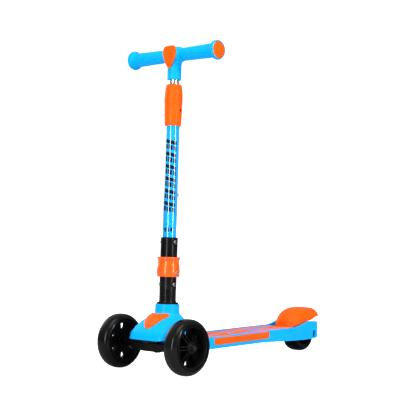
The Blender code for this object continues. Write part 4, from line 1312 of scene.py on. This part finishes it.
    def build(self) -> None:
        """Build every piece of the column and the stem."""
        pieces = (
            ("lower_sleeve_shell", self.lower_sleeve(), SATIN_BLACK, "deck", "black_plastic",
             "lower_sleeve"),
            ("sleeve_arch", self.arch(), SATIN_BLACK, "deck", "black_plastic"),
            ("lower_through_bolt", self.bolt(self.lower_bolt), SCREW_STEEL, "deck", "steel",
             "lower_sleeve_bolt"),
            ("upper_sleeve_shell", self.upper_sleeve(), SATIN_BLACK, "stem", "black_plastic",
             "upper_sleeve"),
            ("upper_through_bolt", self.bolt(self.upper_bolt), SCREW_STEEL, "stem", "steel",
             "upper_sleeve_bolt"),
            ("stem_tube_lacquered", self.stem_tube(), TUBE, "stem", "blue_tube", "stem_tube"),
            ("clamp_base_shell", self.clamp_base(), ORANGE, "stem", "orange_plastic", "clamp_base"),
            # the steel grub screw takes the black plastic finish as painted shade, so the clamp's screw
            # hole reads dark
            ("clamp_grub_screw", self.clamp_screw(), BLACK, "stem", "steel", "clamp_screw"),
            ("twist_knob_shell", self.knob(), ORANGE, "knob", "orange_plastic", "twist_knob"),
            ("lock_collar_shell", self.collar(), GLOSS_ORANGE, "collar", "orange_plastic", "lock_collar"),
            ("lock_button_cap", self.button(), STEEL, "button", "chrome", "lock_button"),
        )
        for name, body, finish, *rest in pieces:
            piece = add_piece(name, self.frame.leant(body), finish, *rest)
            if finish is TUBE:
                map_round(piece, self.frame.lean)


# --- handlebar ----------------------------------------------------------------------------------


@dataclass
class Handlebar:
    """The chromed height tube, the tee with its shield, and the grips with their end caps."""

    frame: Frame
    bar: float = 694.0
    tee_foot: float = 639.0
    tube_radius: float = 11.5
    tube_foot: float = 387.0
    cross_radius: float = 11.0
    fit: float = 0.3
    tube_wall: float = 1.5

    def inner_tube(self) -> Body:
        """The chromed tube that slides in the stem."""
        inner = self.tube_radius - self.tube_wall
        profile = filleted([(inner, self.tube_foot), (self.tube_radius, self.tube_foot),
                            (self.tube_radius, self.bar - 13.0),
                            (inner, self.bar - 13.0)], {1: 0.4, 2: 0.4})
        return turned(profile)

    def tee(self) -> Body:
        """The tee: a swollen cross hub on a post, melted together, with a flat for its shield."""
        centre = rise(self.bar)
        hub = [(0.0, -26.7), (14.7, -26.7), (15.1, -24.4), (16.6, -19.5), (18.4, -13.0), (19.3, -6.0),
               (19.5, 0.0), (19.3, 6.0),
               (18.4, 13.0), (16.6, 19.5), (15.1, 24.4), (14.7, 26.7), (0.0, 26.7)]
        post = [(0.0, self.tee_foot), (15.1, self.tee_foot), (15.5, self.tee_foot + 1.0),
                (15.5, self.bar - 22.0),
                (17.2, self.bar - 13.0), (17.6, self.bar), (0.0, self.bar)]
        body = carved(turned(hub, Axis.X, centre), turned(post), operation="UNION")
        body = moulded(body, 0.9, 8)
        cross = turned(rod_profile(self.cross_radius + self.fit, -40.0, 40.0), Axis.X, centre)
        sleeve = turned(rod_profile(self.tube_radius + self.fit, 600.0, self.bar - 12.6))
        face = extruded([(-40, -40), (40, -40), (40, -16.3), (-40, -16.3)], Axis.Z, self.tee_foot + 8,
                        self.bar + 40)
        return carved(body, cross, sleeve, face)

    def shield(self) -> Body:
        """The shield on the tee's front: a plate with a crowned face and soft edges."""
        half, top, foot = 20.0, self.bar + 19.5, self.bar - 31.0
        right = [(0.0, foot), (4.2, foot + 1.2), (11.5, foot + 12.0), (17.4, foot + 24.0),
                 (half, foot + 35.0),
                 (half - 0.9, foot + 43.5), (half - 4.6, foot + 48.6), (half - 11.0, top - 0.3)]
        outline = right + [(0.0, top)] + [(-x, z) for x, z in reversed(right[1:])]
        outline = filleted(outline, {i: 5.0 for i in range(len(outline))}, 5)
        middle = foot + 29.0
        layers = ((0.985, -16.5), (1.0, -16.9), (1.0, -17.9), (0.985, -18.6), (0.95, -19.2),
                  (0.85, -20.0), (0.66, -20.8),
                  (0.4, -21.3), (0.15, -21.5))
        rings = [[Vector((x * size, depth, middle + (z - middle) * size)) for x, z in outline] for size,
                 depth in layers]
        bm = stacked(rings, True)
        bmesh.ops.holes_fill(bm, edges=bm.edges, sides=0)
        return outward(bm)

    def grip(self) -> Body:
        """A left grip: slightly tapered, with a soft flange at its outer end."""
        bore = self.cross_radius + self.fit
        outline = [(bore, 27.0), (14.4, 27.0), (14.7, 50.0), (15.2, 80.0), (15.8, 108.0), (16.2, 114.0),
                   (17.8, 117.6),
                   (20.4, 120.6), (21.5, 124.0), (21.2, 127.6), (19.9, 130.0), (19.1, 130.2),
                   (19.1, 126.0), (bore, 126.0)]
        soft = {1: 0.8, 5: 2.0, 6: 2.0, 7: 1.8, 8: 1.8, 9: 1.4, 10: 0.8}
        return turned(filleted(outline, soft), Axis.X, rise(self.bar))

    def end_cap(self) -> Body:
        """A left end cap with a slightly crowned face."""
        outline = [(0.0, 126.3), (18.7, 126.3), (18.7, 128.8), (17.0, 130.2), (10.0, 130.8), (0.0, 131.0)]
        return turned(filleted(outline, {2: 1.0, 3: 1.2}), Axis.X, rise(self.bar))

    def build(self) -> None:
        """Build every piece of the handlebar."""
        lean = self.frame.leant
        add_piece("height_tube", lean(self.inner_tube()), CHROME, "handlebar", "chrome", "inner_tube")
        add_piece("tee_moulding", lean(self.tee()), BLUE, "handlebar", "blue_plastic", "tee_head")
        add_piece("tee_shield", lean(self.shield()), ORANGE, "handlebar", "orange_plastic", "tee_badge")
        for side in Side:
            word = side.word
            grip = lean(sided(self.grip(), side))
            add_piece(f"soft_grip_{word}", grip, GRIP_BLUE, "handlebar", "blue_grip", f"grip_{word}")
            cap = lean(sided(self.end_cap(), side))
            add_piece(f"end_cap_{word}", cap, ORANGE, "handlebar", "orange_plastic", f"grip_cap_{word}")


# --- fender -------------------------------------------------------------------------------------


@dataclass
class Fender:
    """The helmet-shaped heel brake over the rear wheel."""

    frame: Frame
    half: float = 36.0
    flare: float = 4.0
    foot: float = 64.0
    skirt: float = 50.0
    wall: float = 2.6
    arch_points: int = 40
    arches: int = 26
    arch_power: float = 0.72
    front_power: float = 1.5
    front_width: float = 0.42
    width_reach: float = 0.42
    front_height: float = 0.12
    height_reach: float = 0.55
    fall: float = 20.0
    trim: tuple = ((150, 61.0), (206, 62.5), (217, 65.0), (250, 75.0), (275, 77.0), (303, 86.0),
                   (340, 87.0))

    def quarter_round(self, t: float, reach: float) -> float:
        """Rise from 0 to 1 like a quarter ellipse while t goes from 0 to reach."""
        return math.sqrt(1 - (1 - min(t / reach, 1.0)) ** 2)

    def skin(self) -> Body:
        """The outer skin: arches from a blunt front back to the open rear."""
        front, back = self.frame.low("fender").y, self.frame.high("fender").y
        top = self.frame.high("fender").z
        rings = []
        for step in range(self.arches + 1):
            t = (step / self.arches) ** self.front_power
            wide = self.front_width + (1 - self.front_width) * self.quarter_round(t, self.width_reach)
            high = self.front_height + (1 - self.front_height) * self.quarter_round(t, self.height_reach)
            half = (self.half + self.flare * t) * wide
            crown = self.foot + (top - self.foot) * high
            crown -= self.fall * max(t - self.height_reach, 0.0) ** 2
            ring = []
            for i in range(self.arch_points + 1):
                angle = math.pi * i / self.arch_points
                across = math.copysign(abs(math.cos(angle)) ** self.arch_power, math.cos(angle))
                height = self.skirt + (crown - self.skirt) * math.sin(angle) ** self.arch_power
                ring.append(Vector((half * across, front + (back - front) * t, height)))
            rings.append(ring)
        bm = stacked(rings, False)
        foremost = {vert for vert in bm.verts if vert.co.y < front + 0.01}
        front_edges = [edge for edge in bm.edges if edge.is_boundary and foremost.issuperset(edge.verts)]
        bmesh.ops.contextual_create(bm, geom=front_edges)
        return outward(bm)

    def body(self) -> Body:
        """The fender: its skin given a wall, its lower edge trimmed, and the two ears of its hinge."""
        skin = self.skin()
        for low, high in zip(self.trim, self.trim[1:]):
            for y in (low[0], high[0]):
                sliced(skin, (0, y, 0), (0, 1, 0))
            span = [face for face in skin.faces
                    if low[0] - 0.01 <= face.calc_center_median().y <= high[0] + 0.01]
            part = set(span) | {e for f in span for e in f.edges} | {v for f in span for v in f.verts}
            slope = Vector((0.0, -(high[1] - low[1]), high[0] - low[0])).normalized()
            bmesh.ops.bisect_plane(skin, geom=list(part), plane_co=(0, low[0], low[1]), plane_no=-slope,
                                   clear_outer=True)
        outward(skin)
        if sum(face.normal.z * face.calc_area() for face in skin.faces) < 0:
            bmesh.ops.reverse_faces(skin, faces=skin.faces)
        bmesh.ops.solidify(skin, geom=skin.faces[:], thickness=self.wall)
        outward(skin)
        pivot = self.frame.middle("fender_pin")
        front = self.frame.low("fender").y
        shapes = [skin]
        for low, high in ((-16.5, -12.5), (12.5, 16.5)):
            outline = [(front + 2.2, 58.5), (pivot.y + 8.0, 58.5), (pivot.y + 8.0, 70.0),
                       (front + 2.2, 70.0)]
            ear = extruded(filleted(outline, {0: 2.0, 1: 4.0, 2: 4.0}), Axis.X, low, high)
            shapes.append(soft_edged(ear, 0.5, 60.0, 2))
        return gathered(*shapes)

    def build(self) -> None:
        """Build the fender."""
        add_piece("heel_fender", self.body(), ORANGE, "fender_brake", "orange_plastic", "fender")


# --- studio -------------------------------------------------------------------------------------


@dataclass
class Studio:
    """A plain pale floor, soft light and the camera."""

    azimuth: float = math.radians(41.78)
    pitch: float = math.radians(-0.47)
    stand: Vector = field(default_factory=lambda: Vector((1.6763, -1.9459, 0.3349)))
    lens: float = 95.0
    sensor: float = 36.0
    floor_half: float = 30.0
    walls: float = 0.12
    ceiling: float = 0.62
    floor_glow: float = 0.85

    def camera(self) -> None:
        """Set up the camera, level but for a slight upward tilt."""
        data = bpy.data.cameras.new("camera")
        data.lens = self.lens
        data.sensor_width = self.sensor
        data.clip_end = 100.0
        made = linked("camera", data)
        back = Vector((math.sin(self.azimuth) * math.cos(self.pitch),
                       -math.cos(self.azimuth) * math.cos(self.pitch),
                       math.sin(self.pitch)))
        right = Vector((math.cos(self.azimuth), math.sin(self.azimuth), 0.0))
        up = back.cross(right)
        turn = Matrix((right, up, back)).transposed().to_4x4()
        made.matrix_world = Matrix.Translation(self.stand) @ turn
        bpy.context.scene.camera = made

    def floor(self) -> None:
        """Lay a wide pale floor."""
        bm = bmesh.new()
        bmesh.ops.create_grid(bm, x_segments=4, y_segments=4, size=self.floor_half)
        mesh = bpy.data.meshes.new("floor")
        bm.to_mesh(mesh)
        bm.free()
        bench = Bench("pale_floor")
        bench.shader.inputs["Roughness"].default_value = 0.9
        bench.shader.inputs["Specular IOR Level"].default_value = 0.1
        shade = bench.mix(bench.noise(3.0, 2.0), (0.66, 0.66, 0.66), (0.7, 0.7, 0.7))
        bench.links.new(shade, bench.shader.inputs["Base Color"])
        path = bench.nodes.new("ShaderNodeLightPath")
        glow = bench.math("MULTIPLY", path.outputs["Is Camera Ray"], self.floor_glow)
        bench.shader.inputs["Emission Color"].default_value = WHITE
        bench.links.new(glow, bench.shader.inputs["Emission Strength"])
        mesh.materials.append(bench.material)
        linked("floor", mesh)

    def softbox(self, name: str, turn: float, distance: float, height: float, size: Point2,
                power: float) -> None:
        """Hang a softbox that faces the object.

        Args:
            name: The light's name.
            turn: Its azimuth, in degrees, as the camera's is measured.
            distance: How far off it stands, in metres.
            height: How high its middle is, in metres.
            size: Its width and height, in metres.
            power: Its power, in watts.
        """
        data = bpy.data.lights.new(name, "AREA")
        data.shape = "RECTANGLE"
        data.size, data.size_y = size
        data.energy = power
        made = linked(name, data)
        angle = math.radians(turn)
        place = Vector((math.sin(angle) * distance, -math.cos(angle) * distance, height))
        aim = (Vector((0.0, 0.0, 0.35)) - place).normalized()
        made.rotation_euler = aim.to_track_quat("-Z", "Y").to_euler()
        made.location = place

    def world(self) -> None:
        """A white room: brighter above, with dimmer walls that give the gloss its bands."""
        world = bpy.data.worlds.new("studio")
        bpy.context.scene.world = world
        world.use_nodes = True
        nodes, links = world.node_tree.nodes, world.node_tree.links
        nodes.clear()
        coords = nodes.new("ShaderNodeTexCoord")
        parts = nodes.new("ShaderNodeSeparateXYZ")
        links.new(coords.outputs["Generated"], parts.inputs[0])
        ramp = nodes.new("ShaderNodeMapRange")
        for socket, value in zip(ramp.inputs[1:5], (-0.1, 0.8, self.walls, self.ceiling)):
            socket.default_value = value
        links.new(parts.outputs["Z"], ramp.inputs[0])
        room = nodes.new("ShaderNodeBackground")
        room.inputs["Color"].default_value = WHITE
        links.new(ramp.outputs[0], room.inputs["Strength"])
        seen = nodes.new("ShaderNodeBackground")
        seen.inputs["Color"].default_value = WHITE
        path = nodes.new("ShaderNodeLightPath")
        mix = nodes.new("ShaderNodeMixShader")
        links.new(path.outputs["Is Camera Ray"], mix.inputs[0])
        links.new(room.outputs[0], mix.inputs[1])
        links.new(seen.outputs[0], mix.inputs[2])
        out = nodes.new("ShaderNodeOutputWorld")
        links.new(mix.outputs[0], out.inputs["Surface"])

    def build(self) -> None:
        """Set the camera, the floor and the light."""
        bpy.context.scene.view_settings.view_transform = "Standard"
        bpy.context.scene.view_settings.look = "Medium High Contrast"
        self.camera()
        self.floor()
        self.world()
        self.softbox("left_strip", 10.8, 2.6, 0.75, (0.34, 1.9), 38.0)
        self.softbox("right_strip", 92.0, 2.6, 0.75, (0.34, 1.9), 36.0)
        self.softbox("overhead", 60.0, 1.2, 2.4, (1.8, 1.8), 36.0)
        self.softbox("back_fill", 272.0, 2.8, 1.3, (1.6, 1.6), 20.0)


def main() -> None:
    """Load the frame and build every class in order."""
    logging.basicConfig(level=logging.INFO, format="%(name)s: %(message)s")
    frame = Frame(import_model())
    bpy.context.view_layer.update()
    frame.dress()
    Studio().build()
    for assembly in (Wheels, Nose, Deck, Column, Handlebar, Fender):
        LOG.info("building %s", assembly.__name__)
        assembly(frame).build()


if __name__ == "__main__":
    main()
